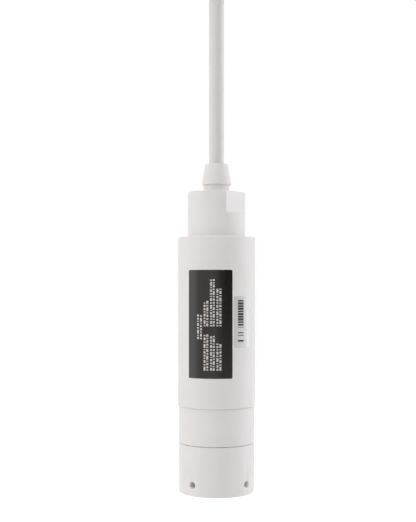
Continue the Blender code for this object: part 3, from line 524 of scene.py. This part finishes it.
def turned(name, corners, finish, sides=SIDES, thread=None):
    """A turned piece from (radius, height, rounding) corners."""
    outline = [(x, level(y)) for x, y in rounded(corners)]
    if thread:
        crest, low, high, pitch, depth = thread
        thread = (crest, level(low), level(high), pitch, depth)
    return add_mesh(name, spin(outline, sides, thread), finish)


def prism(outline, low, high):
    """Extrude an (x, z) outline along Y from low to high."""
    shape = bmesh.new()
    face = shape.faces.new([shape.verts.new((x, low, z)) for x, z in outline])
    moved = bmesh.ops.extrude_face_region(shape, geom=[face])["geom"]
    points = [item for item in moved if isinstance(item, bmesh.types.BMVert)]
    bmesh.ops.translate(shape, verts=points, vec=(0, high - low, 0))
    return shape


def rod(radius, length, sides=48):
    shape = bmesh.new()
    bmesh.ops.create_cone(shape, cap_ends=True, segments=sides, radius1=radius,
                          radius2=radius, depth=length)
    return shape


def carve(target, shapes, finish=None, sharp=30):
    """Subtract (shape, location, rotation) cutters for good; cut faces may get their own finish."""
    for shape, location, rotation in shapes:
        cutter = add_mesh("cutter", shape, finish)
        cutter.location, cutter.rotation_euler = location, rotation
        modifier = target.modifiers.new("carve", "BOOLEAN")
        modifier.operation = "DIFFERENCE"
        modifier.solver = "EXACT"
        modifier.material_mode = "TRANSFER" if finish else "INDEX"
        modifier.object = cutter
        bpy.context.view_layer.update()
        carved = bpy.data.meshes.new_from_object(
            target.evaluated_get(bpy.context.evaluated_depsgraph_get()))
        target.modifiers.clear()
        target.data = carved
        bpy.data.objects.remove(cutter, do_unlink=True)
    target.data.shade_smooth()
    target.data.set_sharp_from_angle(angle=radians(sharp))


def soften(target, chosen, width, segments=2, sharp=30):
    """Round the edges of target that chosen(edge) picks."""
    shape = bmesh.new()
    shape.from_mesh(target.data)
    edges = [edge for edge in shape.edges if len(edge.link_faces) == 2 and chosen(edge)]
    bmesh.ops.bevel(shape, geom=edges, offset=width, segments=segments, profile=0.5,
                    affect="EDGES", clamp_overlap=True)
    shape.to_mesh(target.data)
    shape.free()
    target.data.shade_smooth()
    target.data.set_sharp_from_angle(angle=radians(sharp))


def stand_in(item, body, slot, *nodes):
    """The item rides on a body, and shows in place of these CAD nodes."""
    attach(item, body)
    if nodes:
        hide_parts(*nodes)
    return item


def make_cable():
    low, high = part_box("cable")
    nut_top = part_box("gland_nut")[1][2]
    curve = bpy.data.curves.new("cable_sheath", "CURVE")
    curve.dimensions = "3D"
    curve.bevel_depth = CABLE_RADIUS
    curve.bevel_resolution = CABLE_SMOOTHNESS
    curve.use_fill_caps = True
    spline = curve.splines.new("POLY")
    spline.points.add(CABLE_POINTS - 1)
    for index, point in enumerate(spline.points):
        rise = (high[2] - low[2]) * index / (CABLE_POINTS - 1)
        point.co = (0, 0, low[2] + rise, 1.0)
    spline.use_smooth = True
    curve.materials.append(FINISHES["white_sheath"])
    cable = bpy.data.objects.new("cable_sheath", curve)
    bpy.context.collection.objects.link(cable)
    stand_in(cable, "housing", "white_sheath", "cable")
    return cable, nut_top, high[2] - low[2]


def make_nose():
    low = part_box("nose_cap")[0][2] - NOSE_LEVEL
    high = BAND_BASE - CAP_LINE
    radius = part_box("nose_cap")[1][0]
    shoulder = CAP_FLOOR + CHAMBER_HEIGHT
    thread_low, thread_high = shoulder + CAP_THREAD_START, high - CAP_THREAD_END
    cap = turned("cap_turned", [
        (0, low, 0),
        (radius, low, NOSE_EDGE),
        (radius, high, EDGE),
        (CAP_BORE_RADIUS + EDGE_WIDE, high, 0),
        (CAP_BORE_RADIUS, high - EDGE_WIDE, 0),
        *reversed(thread_rows(CAP_BORE_RADIUS, thread_low, thread_high, CAP_THREAD_PITCH)),
        (CAP_BORE_RADIUS, shoulder, 0),
        (CHAMBER_RADIUS + EDGE_SMALL, shoulder, 0),
        (CHAMBER_RADIUS, shoulder - EDGE_SMALL, 0),
        (CHAMBER_RADIUS, CAP_FLOOR, CHAMBER_FILLET),
        (0, CAP_FLOOR, 0),
    ], "white_plastic", thread=(CAP_BORE_RADIUS, thread_low, thread_high,
                                CAP_THREAD_PITCH, -CAP_THREAD_DEPTH))
    middle = (radius + CHAMBER_RADIUS) / 2
    carve(cap, [
        (rod(PORT_RADIUS, radius), facing(angle, middle, level(PORT_HEIGHT)),
         (pi / 2, 0, radians(angle)))
        for angle in (PORT_FIRST_ANGLE + 360 / PORT_COUNT * index for index in range(PORT_COUNT))
    ])

    def is_port_rim(edge):
        ends = [(hypot(vert.co.x, vert.co.y), abs(vert.co.z - level(PORT_HEIGHT)))
                for vert in edge.verts]
        return (all(abs(r - radius) < NEAR and z < PORT_RADIUS + EDGE_SMALL for r, z in ends)
                and edge.calc_face_angle(0) > radians(CREASE_OF_RIM))

    soften(cap, is_port_rim, PORT_EDGE)
    stand_in(cap, "nose_cap", "white_plastic", "nose_cap")

    low, high = (corner[2] - NOSE_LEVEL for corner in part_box("nose_gasket"))
    ring = turned("gasket_ring", [
        (CHAMBER_RADIUS + GASKET_INSET, low, GASKET_EDGE),
        (CAP_THREAD_RADIUS, low, GASKET_EDGE),
        (CAP_THREAD_RADIUS, high, GASKET_EDGE),
        (CHAMBER_RADIUS + GASKET_INSET, high, GASKET_EDGE),
    ], "soft_gasket")
    stand_in(ring, "nose_gasket", "soft_gasket", "nose_gasket")


def groove(start):
    """Corners of a spigot's O-ring groove, going up from start."""
    return [
        (SPIGOT_RADIUS, start, GROOVE_EDGE),
        (SPIGOT_GROOVE_RADIUS, start, EDGE_SMALL),
        (SPIGOT_GROOVE_RADIUS, start + SPIGOT_GROOVE_HEIGHT, EDGE_SMALL),
        (SPIGOT_RADIUS, start + SPIGOT_GROOVE_HEIGHT, GROOVE_EDGE),
    ]


def make_carrier():
    low, high = (corner[2] - NOSE_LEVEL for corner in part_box("sensor_carrier"))
    thread_high = BAND_BASE - RELIEF_HEIGHT
    thread_low = low + CARRIER_THREAD_START
    carrier = turned("carrier_turned", [
        (WINDOW_RADIUS, low, EDGE_SMALL),
        (CAP_THREAD_RADIUS - CARRIER_THREAD_START, low, 0),
        *thread_rows(CAP_THREAD_RADIUS, thread_low, thread_high, CAP_THREAD_PITCH),
        (RELIEF_RADIUS, thread_high + EDGE, 0),
        (RELIEF_RADIUS, BAND_BASE, EDGE_SMALL),
        (BAND_RADIUS, BAND_BASE, EDGE),
        (BAND_RADIUS, BAND_TOP, EDGE),
        (SPIGOT_RADIUS, BAND_TOP, EDGE_SMALL),
        *groove(high - SPIGOT_GROOVE_EDGE - SPIGOT_GROOVE_HEIGHT),
        (SPIGOT_RADIUS, high, EDGE_WIDE),
        (CELL_BORE_RADIUS, high, EDGE_SMALL),
        (CELL_BORE_RADIUS, low + LIP_THICKNESS, EDGE_SMALL),
        (WINDOW_RADIUS, low + LIP_THICKNESS, EDGE_SMALL),
    ], "white_plastic", thread=(CAP_THREAD_RADIUS, thread_low, thread_high,
                                CAP_THREAD_PITCH, CAP_THREAD_DEPTH))
    stand_in(carrier, "housing", "white_plastic", "sensor_carrier")


def make_body():
    low = BAND_TOP + BAND_LINE
    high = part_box("body_tube")[1][2] - NOSE_LEVEL
    body = turned("body_turned", [
        (BODY_RADIUS, low, EDGE),
        (BODY_RADIUS, high, BODY_TOP_ROUND),
        (SOCKET_RADIUS, high, EDGE_SMALL),
        (SOCKET_RADIUS, high - UPPER_SOCKET_DEPTH, 0),
        (BODY_BORE_RADIUS, high - UPPER_SOCKET_DEPTH, EDGE_SMALL),
        (BODY_BORE_RADIUS, low + LOWER_SOCKET_DEPTH, EDGE_SMALL),
        (SOCKET_RADIUS, low + LOWER_SOCKET_DEPTH, 0),
        (SOCKET_RADIUS, low, EDGE_SMALL),
    ], "white_plastic")
    stand_in(body, "housing", "white_plastic", "body_tube")


def wrapped_plate(shape, place, inner, outer, corner, span=PLATE_SPAN):
    """Add to shape a thin plate wrapped on the body, with rounded corners."""
    left, right, base, top = place
    first, last = radians(left), radians(right)
    turn = corner / outer
    spans = max(1, round((last - first - 2 * turn) / radians(span)))
    insets = []
    if corner:
        insets = [turn * (1 - cos(pi / 2 * step / PLATE_STEPS)) for step in range(PLATE_STEPS)]
    angles = [first + inset for inset in insets]
    angles += [first + turn + (last - first - 2 * turn) * step / spans
               for step in range(spans + 1)]
    angles += [last - inset for inset in reversed(insets)]
    columns = []
    for angle in angles:
        inside = min(angle - first, last - angle, turn) * outer
        drop = corner - sqrt(max(0.0, corner ** 2 - (corner - inside) ** 2))
        columns.append([
            shape.verts.new((radius * sin(angle), -radius * cos(angle), level(z)))
            for radius, z in ((inner, base + drop), (outer, base + drop),
                              (outer, top - drop), (inner, top - drop))
        ])
    for here, there in zip(columns, columns[1:]):
        for side in range(4):
            shape.faces.new((here[side], there[side], there[side - 3], here[side - 3]))
    shape.faces.new(columns[0])
    shape.faces.new(columns[-1])


def make_labels():
    for name, place, slot, node in (
        ("label_film", LABEL_PLACE, "black_label", "label_plate"),
        ("sticker_film", STICKER_PLACE, "paper", "code_sticker"),
    ):
        shape = bmesh.new()
        wrapped_plate(shape, place, LABEL_INNER_RADIUS, LABEL_OUTER_RADIUS, LABEL_CORNER)
        stand_in(add_mesh(name, shape, slot), "housing", slot, node)

    marks = bmesh.new()
    for line, (left, right, base, top) in enumerate(MARK_LINES):
        for rule in range(MARK_RULES):
            angle = left + (right - left - MARK_BREADTH) * rule / (MARK_RULES - 1)
            start, index = base, MARK_SHIFT * rule + line
            while start < top - MARK_SPACE:
                end = min(start + MARK_LENGTHS[index % len(MARK_LENGTHS)], top)
                wrapped_plate(marks, (angle, angle + MARK_BREADTH, start, end),
                              PRINT_BASE_RADIUS, PRINT_RADIUS, 0.0)
                start = end + MARK_SPACE
                index += 1
    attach(add_mesh("label_marks", marks, "label_ink"), "housing")

    stripes = bmesh.new()
    left, right, base, top = STRIPE_PLACE
    count = int((top - base) / STRIPE_PITCH)
    for index in range(count):
        rhythm = STRIPES_ABOVE if index > STRIPES_CHANGE * count else STRIPES_BELOW
        half = STRIPE_PITCH * rhythm[index % len(rhythm)] / 2
        if half:
            middle = base + STRIPE_PITCH * (index + 0.5)
            wrapped_plate(stripes, (left, right, middle - half, middle + half),
                          PRINT_BASE_RADIUS, PRINT_RADIUS, 0.0, STRIPE_SPAN)
    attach(add_mesh("sticker_stripes", stripes, "sticker_ink"), "housing")


def make_head():
    low, high = (corner[2] - NOSE_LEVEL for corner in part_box("head"))
    neck_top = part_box("gland_nut")[0][2] - NOSE_LEVEL + NUT_LIFT - NUT_LINE
    thread_low = neck_top + EDGE_WIDE
    thread_high = high - EDGE
    pocket_start = HEAD_POCKET_BASE - (HEAD_BORE_RADIUS - HEAD_POCKET_RADIUS)
    head = turned("head_turned", [
        (HEAD_BORE_RADIUS, low, EDGE_SMALL),
        (SPIGOT_RADIUS, low, EDGE_WIDE),
        *groove(low + SPIGOT_GROOVE_EDGE),
        (SPIGOT_RADIUS, HEAD_SHOULDER, EDGE_FINE),
        (HEAD_RADIUS, HEAD_SHOULDER, HEAD_ROOT),
        (HEAD_RADIUS, HEAD_TOP, HEAD_ROUND),
        (NECK_RADIUS, HEAD_TOP, EDGE),
        (NECK_RADIUS, neck_top, EDGE_SMALL),
        (NECK_THREAD_RADIUS - NECK_LEAD, neck_top, 0),
        *thread_rows(NECK_THREAD_RADIUS, thread_low, thread_high, NECK_THREAD_PITCH),
        (NECK_THREAD_RADIUS - NECK_LEAD, high, 0),
        (SLEEVE_RADIUS, high, 0),
        (CABLE_BORE_RADIUS, high - NECK_MOUTH_DEPTH, 0),
        (CABLE_BORE_RADIUS, HEAD_CEILING, 0),
        (HEAD_POCKET_RADIUS, HEAD_CEILING, EDGE_WIDE),
        (HEAD_POCKET_RADIUS, HEAD_POCKET_BASE, 0),
        (HEAD_BORE_RADIUS, pocket_start, 0),
    ], "white_plastic", thread=(NECK_THREAD_RADIUS, thread_low, thread_high,
                                NECK_THREAD_PITCH, NECK_THREAD_DEPTH))
    outline = rounded([
        (FLAT_DISTANCE, -FLAT_HEIGHT, FLAT_CORNER),
        (CUTTER_REACH, -FLAT_HEIGHT, 0),
        (CUTTER_REACH, FLAT_HEIGHT, 0),
        (FLAT_DISTANCE, FLAT_HEIGHT, 0),
    ], steps=8)
    carve(head, [
        (prism(outline, -CUTTER_REACH, CUTTER_REACH), (0, 0, level(HEAD_TOP)),
         (0, 0, radians(FLAT_ANGLE - 90 + side)))
        for side in (0, 180)
    ], "milled_plastic")
    normal = facing(FLAT_ANGLE, 1.0, 0.0)
    ledge = level(HEAD_TOP - FLAT_HEIGHT)

    def is_sharp(edge):
        return edge.is_convex and edge.calc_face_angle(0) > radians(CREASE)

    def is_ledge_edge(edge):
        return is_sharp(edge) and any(
            face.normal.z > ALIGNED and abs(face.calc_center_median().z - ledge) < 1e-5
            for face in edge.link_faces)

    def is_flat_edge(edge):
        return is_sharp(edge) and any(
            abs(face.normal.dot(normal)) > ALIGNED for face in edge.link_faces)

    soften(head, is_ledge_edge, LEDGE_EDGE, segments=4)
    soften(head, is_flat_edge, FLAT_EDGE)
    stand_in(head, "housing", "white_plastic", "head")


def make_gland():
    low, high = (corner[2] - NOSE_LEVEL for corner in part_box("gland_nut"))
    low += NUT_LIFT
    thread_low, thread_high = low + EDGE, low + NUT_CAVITY_BASE - EDGE
    nut = turned("nut_turned", [
        (NUT_BORE_RADIUS + EDGE, low, 0),
        (NUT_BASE_RADIUS - NUT_BEVEL, low, EDGE_SMALL),
        (NUT_BASE_RADIUS, low + NUT_BEVEL - NUT_LIFT, NUT_BEVEL_EDGE),
        (NUT_TOP_RADIUS, high, NUT_TOP_ROUND),
        (CABLE_BORE_RADIUS, high, EDGE),
        (CABLE_BORE_RADIUS, high - NUT_ROOF, 0),
        (NUT_CAVITY_RADIUS, high - NUT_ROOF, EDGE),
        (NUT_CAVITY_RADIUS, low + NUT_CAVITY_BASE, 0),
        (NUT_BORE_RADIUS, low + NUT_CAVITY_BASE, 0),
        *reversed(thread_rows(NUT_BORE_RADIUS, thread_low, thread_high, NECK_THREAD_PITCH)),
    ], "white_plastic", SIDES_SMALL, (NUT_BORE_RADIUS, thread_low, thread_high,
                                      NECK_THREAD_PITCH, -NECK_THREAD_DEPTH))
    stand_in(nut, "gland_nut", "white_plastic", "gland_nut")

    low, high = (corner[2] - NOSE_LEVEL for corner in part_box("gland_slip_ring"))
    ring = turned("slip_ring_turned", [
        (CABLE_BORE_RADIUS, low, EDGE_FINE),
        (SLEEVE_RADIUS, low, EDGE_FINE),
        (SLEEVE_RADIUS, high, EDGE_FINE),
        (CABLE_BORE_RADIUS, high, EDGE_FINE),
    ], "soft_gasket", SIDES_SMALL)
    stand_in(ring, "gland_slip_ring", "soft_gasket", "gland_slip_ring")

    low, high = (corner[2] - NOSE_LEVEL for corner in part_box("gland_sleeve"))
    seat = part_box("head")[1][2] - NOSE_LEVEL + SEAT
    sleeve = turned("sleeve_moulded", [
        (CABLE_BORE_RADIUS, low, 0),
        (SLEEVE_RADIUS - SLEEVE_TIP, low, EDGE_FINE),
        (SLEEVE_RADIUS - SLEEVE_STEP, seat - SLEEVE_STEP, 0),
        (SLEEVE_RADIUS - SLEEVE_STEP, seat, 0),
        (SLEEVE_RADIUS, seat, EDGE_FINE),
        (SLEEVE_RADIUS, high, EDGE),
        (CABLE_BORE_RADIUS, high, EDGE_FINE),
    ], "grey_rubber", SIDES_SMALL)
    stand_in(sleeve, "housing", "grey_rubber", "gland_sleeve")


def clamp_outline():
    """Front view of the suspension clamp: a round lug above a square foot."""
    side = CLAMP_WIDTH / 2
    lean = acos(CLAMP_LUG_RADIUS / hypot(side, CLAMP_SHOULDER)) - atan2(CLAMP_SHOULDER, side)
    foot = rounded([
        (-side, -CLAMP_SHOULDER, CLAMP_CORNER),
        (-side, -CLAMP_BELOW_EYE, CLAMP_CORNER),
        (side, -CLAMP_BELOW_EYE, CLAMP_CORNER),
        (side, -CLAMP_SHOULDER, CLAMP_CORNER),
        (CLAMP_LUG_RADIUS * cos(lean), CLAMP_LUG_RADIUS * sin(lean), 0),
        (-CLAMP_LUG_RADIUS * cos(lean), CLAMP_LUG_RADIUS * sin(lean), 0),
    ])[:-2]
    turns = [lean + (pi - 2 * lean) * step / LUG_STEPS for step in range(LUG_STEPS + 1)]
    arc = [Vector((CLAMP_LUG_RADIUS * cos(turn), CLAMP_LUG_RADIUS * sin(turn)))
           for turn in turns]
    return foot + arc


def slot_cutters(side, face):
    """Shallow slots below the eye, with three ribs left standing between them."""
    cutters = []
    depths = sorted((side * (face - SLOT_DEPTH), side * (face + SLOT_OVERSHOOT)))
    for index in range(SLOT_COUNT):
        x = (index - (SLOT_COUNT - 1) / 2) * SLOT_PITCH
        end = SLOT_END_OUTER if index in (0, SLOT_COUNT - 1) else SLOT_END
        slot = rounded([
            (x - SLOT_HALF, -end, SLOT_CORNER),
            (x + SLOT_HALF, -end, SLOT_CORNER),
            (x + SLOT_HALF, -SLOT_TOP, SLOT_CORNER),
            (x - SLOT_HALF, -SLOT_TOP, SLOT_CORNER),
        ], steps=4)
        cutters.append((prism(slot, *depths), (0, 0, 0), (0, 0, 0)))
    return cutters


def make_clamp():
    face = CLAMP_DEPTH / 2
    turn = (pi / 2, 0, 0)
    channel_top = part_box("cable")[1][2] + SEAT
    pieces = []
    for name, side, node in (("clamp_front_moulded", -1, "clamp_front"),
                             ("clamp_back_moulded", 1, "clamp_back")):
        shape = prism(clamp_outline(), side * CLAMP_LINE / 2, side * face)
        half = add_mesh(name, shape, "nylon")
        soften(half, lambda edge: all(abs(vert.co.y - side * face) < 1e-6
                                      for vert in edge.verts), CLAMP_EDGE, segments=4)
        cutters = [
            (rod(CABLE_BORE_RADIUS, 2 * (CLAMP_BELOW_EYE + channel_top), SIDES_CHANNEL),
             (0, 0, -CLAMP_BELOW_EYE), (0, 0, 0)),
            (rod(EYE_RADIUS, 2 * CLAMP_DEPTH, SIDES_EYE), (0, 0, 0), turn),
        ]
        for x_side in (-1, 1):
            cutters.append((rod(SCREW_RADIUS + CLAMP_SCREW_FIT, 2 * CLAMP_DEPTH),
                            (x_side * SCREW_SPACING / 2, 0, -SCREW_DROP), turn))
        carve(half, cutters + slot_cutters(side, face))

        def is_opening(edge):
            if edge.calc_face_angle(0) < radians(CREASE_OF_RIM):
                return False
            on_face = all(abs(vert.co.y - side * face) < 1e-5 for vert in edge.verts)
            return on_face and edge.is_convex

        soften(half, is_opening, EDGE, segments=3)
        pieces.append(stand_in(half, "housing", "nylon", node))
    return pieces


def make_fasteners():
    pieces = []
    seat = CLAMP_DEPTH / 2 + SEAT
    for side, label in ((-1, "left"), (1, "right")):
        x = side * SCREW_SPACING / 2
        node = "clamp_screw_" + label
        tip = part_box(node)[1][1]
        thread_low, thread_high = -tip - seat + EDGE_WIDE, -tip - seat + SCREW_THREAD_END
        outline = rounded([
            (0, -tip - seat, 0),
            (SCREW_RADIUS - EDGE_WIDE, -tip - seat, 0),
            *thread_rows(SCREW_RADIUS, thread_low, thread_high, SCREW_THREAD_PITCH),
            (SCREW_RADIUS, 0, EDGE_SMALL),
            (SCREW_HEAD_RADIUS, 0, EDGE_SMALL),
            (SCREW_HEAD_RADIUS, SCREW_HEAD_HEIGHT, SCREW_HEAD_EDGE),
            (SOCKET_WIDTH / sqrt(3) + EDGE_SMALL, SCREW_HEAD_HEIGHT, 0),
            (0, SCREW_HEAD_HEIGHT, 0),
        ], steps=4)
        shape = spin(outline, SIDES_SCREW, (SCREW_RADIUS, thread_low, thread_high,
                                            SCREW_THREAD_PITCH, SCREW_THREAD_DEPTH))
        knurl(shape)
        turned_to_front(shape, (x, -seat, -SCREW_DROP))
        screw = add_mesh("screw_" + label, shape, "steel")
        socket = rod(SOCKET_WIDTH / sqrt(3), 2 * SOCKET_DEPTH, 6)
        carve(screw, [(socket, (x, -seat - SCREW_HEAD_HEIGHT, -SCREW_DROP), (pi / 2, 0, 0))])
        pieces.append(stand_in(screw, "housing", "steel", node))

        nut = add_mesh("nut_" + label, hex_nut(), "steel")
        nut.data.transform(place_matrix((x, seat, -SCREW_DROP)))
        carve(nut, [(rod(SCREW_RADIUS + CLAMP_NUT_FIT, 4 * NUT_HEX_HEIGHT),
                     (x, seat, -SCREW_DROP), (pi / 2, 0, 0))])
        pieces.append(stand_in(nut, "housing", "steel", "clamp_nut_" + label))
    return pieces


def knurl(shape):
    """Straight grooves round the side of a socket head."""
    for vert in shape.verts:
        on_side = hypot(vert.co.x, vert.co.y) > SCREW_HEAD_RADIUS - KNURL_RIM
        if on_side and KNURL_START < vert.co.z < SCREW_HEAD_HEIGHT - EDGE:
            angle = atan2(vert.co.y, vert.co.x)
            factor = 1 - KNURL_SHARE * (0.5 + 0.5 * cos(KNURL_COUNT * angle))
            vert.co.x *= factor
            vert.co.y *= factor


def turned_to_front(shape, place):
    """Lay a shape that was turned about Z along Y, its top towards the front, at place."""
    for vert in shape.verts:
        x, y, z = vert.co
        vert.co = Vector((place[0] + x, place[1] - z, place[2] + y))


def place_matrix(place):
    """Lay a shape that stands on Z = 0 along +Y from place."""
    return Matrix.Translation(place) @ Matrix.Rotation(-pi / 2, 4, "X")


def hex_nut():
    """A hexagon nut along Z with the corners of both faces turned off."""
    rings = []
    flat = NUT_HEX_WIDTH / 2
    shape = bmesh.new()
    rows = list(CHAMFER_ROWS) + [NUT_HEX_HEIGHT - row for row in reversed(CHAMFER_ROWS)]
    for z in rows:
        edge = min(z, NUT_HEX_HEIGHT - z)
        limit = flat * CHAMFER_START + edge * CHAMFER_SLOPE
        ring = []
        for side in range(SIDES_NUT):
            angle = 2 * pi * side / SIDES_NUT
            hexagon = flat / cos((angle + pi / 6) % (pi / 3) - pi / 6)
            radius = min(hexagon, limit)
            ring.append(shape.verts.new((radius * cos(angle), radius * sin(angle), z)))
        rings.append(ring)
    for here, there in zip(rings, rings[1:]):
        for side in range(SIDES_NUT):
            after = (side + 1) % SIDES_NUT
            shape.faces.new((here[side], here[after], there[after], there[side]))
    shape.faces.new(rings[0])
    shape.faces.new(rings[-1])
    return shape


def finish_kept_nodes():
    """Give each CAD node that stays in view or inside the probe its finish."""
    slots = {
        "carrier_oring": "seal_rubber", "cell_oring": "seal_rubber", "head_oring": "seal_rubber",
        "ceramic_cell": "ceramic", "surge_arrester": "ceramic",
        "cell_backing_ring": "soft_gasket", "cell_clamp_ring": "white_plastic",
        "sensor_lead_1": "red_wire", "sensor_lead_2": "black_wire",
        "sensor_lead_3": "yellow_wire", "sensor_lead_4": "blue_wire",
        "lower_holder": "black_resin", "upper_holder": "black_resin", "main_board": "board",
        "processor_chip": "black_resin", "bus_chip": "black_resin",
        "voltage_regulator": "black_resin", "filter_capacitor": "aluminium",
        "terminal_block": "terminal_green", "pull_collar": "steel",
        "core_1": "red_wire", "core_2": "yellow_wire", "core_3": "blue_wire",
        "core_4": "black_wire", "vent_tube": "clear_tube",
    }
    for node, slot in slots.items():
        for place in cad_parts[node].material_slots:
            place.material = FINISHES[slot]


def camera_rays(tree):
    """1 for camera, glossy and transmission rays, else 0."""
    path = tree.nodes.new("ShaderNodeLightPath")
    total = path.outputs["Is Camera Ray"]
    for kind in ("Is Glossy Ray", "Is Transmission Ray"):
        add = tree.nodes.new("ShaderNodeMath")
        add.operation = "MAXIMUM"
        tree.links.new(total, add.inputs[0])
        tree.links.new(path.outputs[kind], add.inputs[1])
        total = add.outputs[0]
    return total


def dim_patch(tree, angle, inner, outer, share):
    """Strength of the world: share within inner degrees of a level direction, 1 past outer."""
    place = tree.nodes.new("ShaderNodeTexCoord")
    along = tree.nodes.new("ShaderNodeVectorMath")
    along.operation = "DOT_PRODUCT"
    along.inputs[1].default_value = facing(angle, 1.0, 0.0)
    dim = tree.nodes.new("ShaderNodeMapRange")
    dim.interpolation_type = "SMOOTHSTEP"
    dim.inputs["From Min"].default_value = cos(radians(outer))
    dim.inputs["From Max"].default_value = cos(radians(inner))
    dim.inputs["To Min"].default_value = 1.0
    dim.inputs["To Max"].default_value = share
    tree.links.new(place.outputs["Generated"], along.inputs[0])
    tree.links.new(along.outputs["Value"], dim.inputs["Value"])
    return dim.outputs["Result"]


def make_world():
    """White to the eye and in reflections, softer as light, and dimmer at the camera's side."""
    world = bpy.data.worlds.new("studio")
    bpy.context.scene.world = world
    world.use_nodes = True
    tree = world.node_tree
    light = tree.nodes["Background"]
    light.inputs["Color"].default_value = (*STUDIO_LIGHT, 1.0)
    tree.links.new(dim_patch(tree, *LIGHT_DIM), light.inputs["Strength"])
    white = tree.nodes.new("ShaderNodeBackground")
    white.inputs["Color"].default_value = (1.0, 1.0, 1.0, 1.0)
    path = tree.nodes.new("ShaderNodeLightPath")
    clear = tree.nodes.new("ShaderNodeMath")
    clear.operation = "MAXIMUM"
    tree.links.new(dim_patch(tree, *GLOSS_DIM), clear.inputs[0])
    tree.links.new(path.outputs["Is Camera Ray"], clear.inputs[1])
    tree.links.new(clear.outputs[0], white.inputs["Strength"])
    mix = tree.nodes.new("ShaderNodeMixShader")
    tree.links.new(camera_rays(tree), mix.inputs["Fac"])
    tree.links.new(light.outputs[0], mix.inputs[1])
    tree.links.new(white.outputs[0], mix.inputs[2])
    tree.links.new(mix.outputs[0], tree.nodes["World Output"].inputs["Surface"])


def make_floor():
    """A pale floor well below the probe, which shows as white."""
    shape = bmesh.new()
    bmesh.ops.create_grid(shape, x_segments=1, y_segments=1, size=FLOOR_SIZE / 2)
    bmesh.ops.translate(shape, verts=shape.verts, vec=(0, 0, FLOOR_LEVEL))
    floor = add_mesh("floor", shape, None)
    material = bpy.data.materials.new("floor_white")
    material.use_nodes = True
    tree = material.node_tree
    shader = tree.nodes["Principled BSDF"]
    shader.inputs["Base Color"].default_value = (*FLOOR_COLOUR, 1.0)
    shader.inputs["Roughness"].default_value = FLOOR_ROUGHNESS
    shader.inputs["Specular IOR Level"].default_value = FLOOR_SPECULAR
    shader.inputs["Emission Color"].default_value = (1.0, 1.0, 1.0, 1.0)
    glow = tree.nodes.new("ShaderNodeMath")
    glow.operation = "MULTIPLY"
    glow.inputs[1].default_value = FLOOR_GLOW
    tree.links.new(camera_rays(tree), glow.inputs[0])
    tree.links.new(glow.outputs[0], shader.inputs["Emission Strength"])
    floor.data.materials.append(material)


def add_softbox(name, angle, distance, z, width, height, power, colour=(1, 1, 1)):
    """A tall lamp at an angle from the front, turned to the probe."""
    lamp = bpy.data.lights.new(name, "AREA")
    lamp.shape = "RECTANGLE"
    lamp.size, lamp.size_y = width, height
    lamp.energy = power
    lamp.color = colour
    item = bpy.data.objects.new(name, lamp)
    item.location = facing(angle, distance, z)
    aim = Vector(LAMP_TARGET) - item.location
    item.rotation_euler = aim.to_track_quat("-Z", "Y").to_euler()
    item.visible_camera = False
    bpy.context.collection.objects.link(item)


def make_lamps():
    add_softbox("softbox_left", -77, 1.3, -0.15, 0.75, 1.3, 2.65, (0.84, 0.92, 1.0))
    add_softbox("softbox_right", 85, 1.3, -0.15, 0.45, 1.3, 1.2, (0.75, 0.87, 1.0))
    add_softbox("softbox_right_rear", 105, 1.3, -0.15, 0.45, 1.3, 4.2, (0.88, 0.94, 1.0))
    add_softbox("softbox_above", 0, 0.01, 1.3, 0.9, 0.9, 2.6)
    add_softbox("softbox_front", 10, 1.1, 0.85, 1.0, 0.5, 3.5, (1.0, 0.93, 0.88))


bpy.context.scene.view_settings.view_transform = "Standard"
make_camera()
sheath, exit_level, sheath_length = make_cable()
make_nose()
make_carrier()
make_body()
make_labels()
make_head()
make_gland()
grips = make_clamp() + make_fasteners()
finish_kept_nodes()
make_world()
make_floor()
make_lamps()
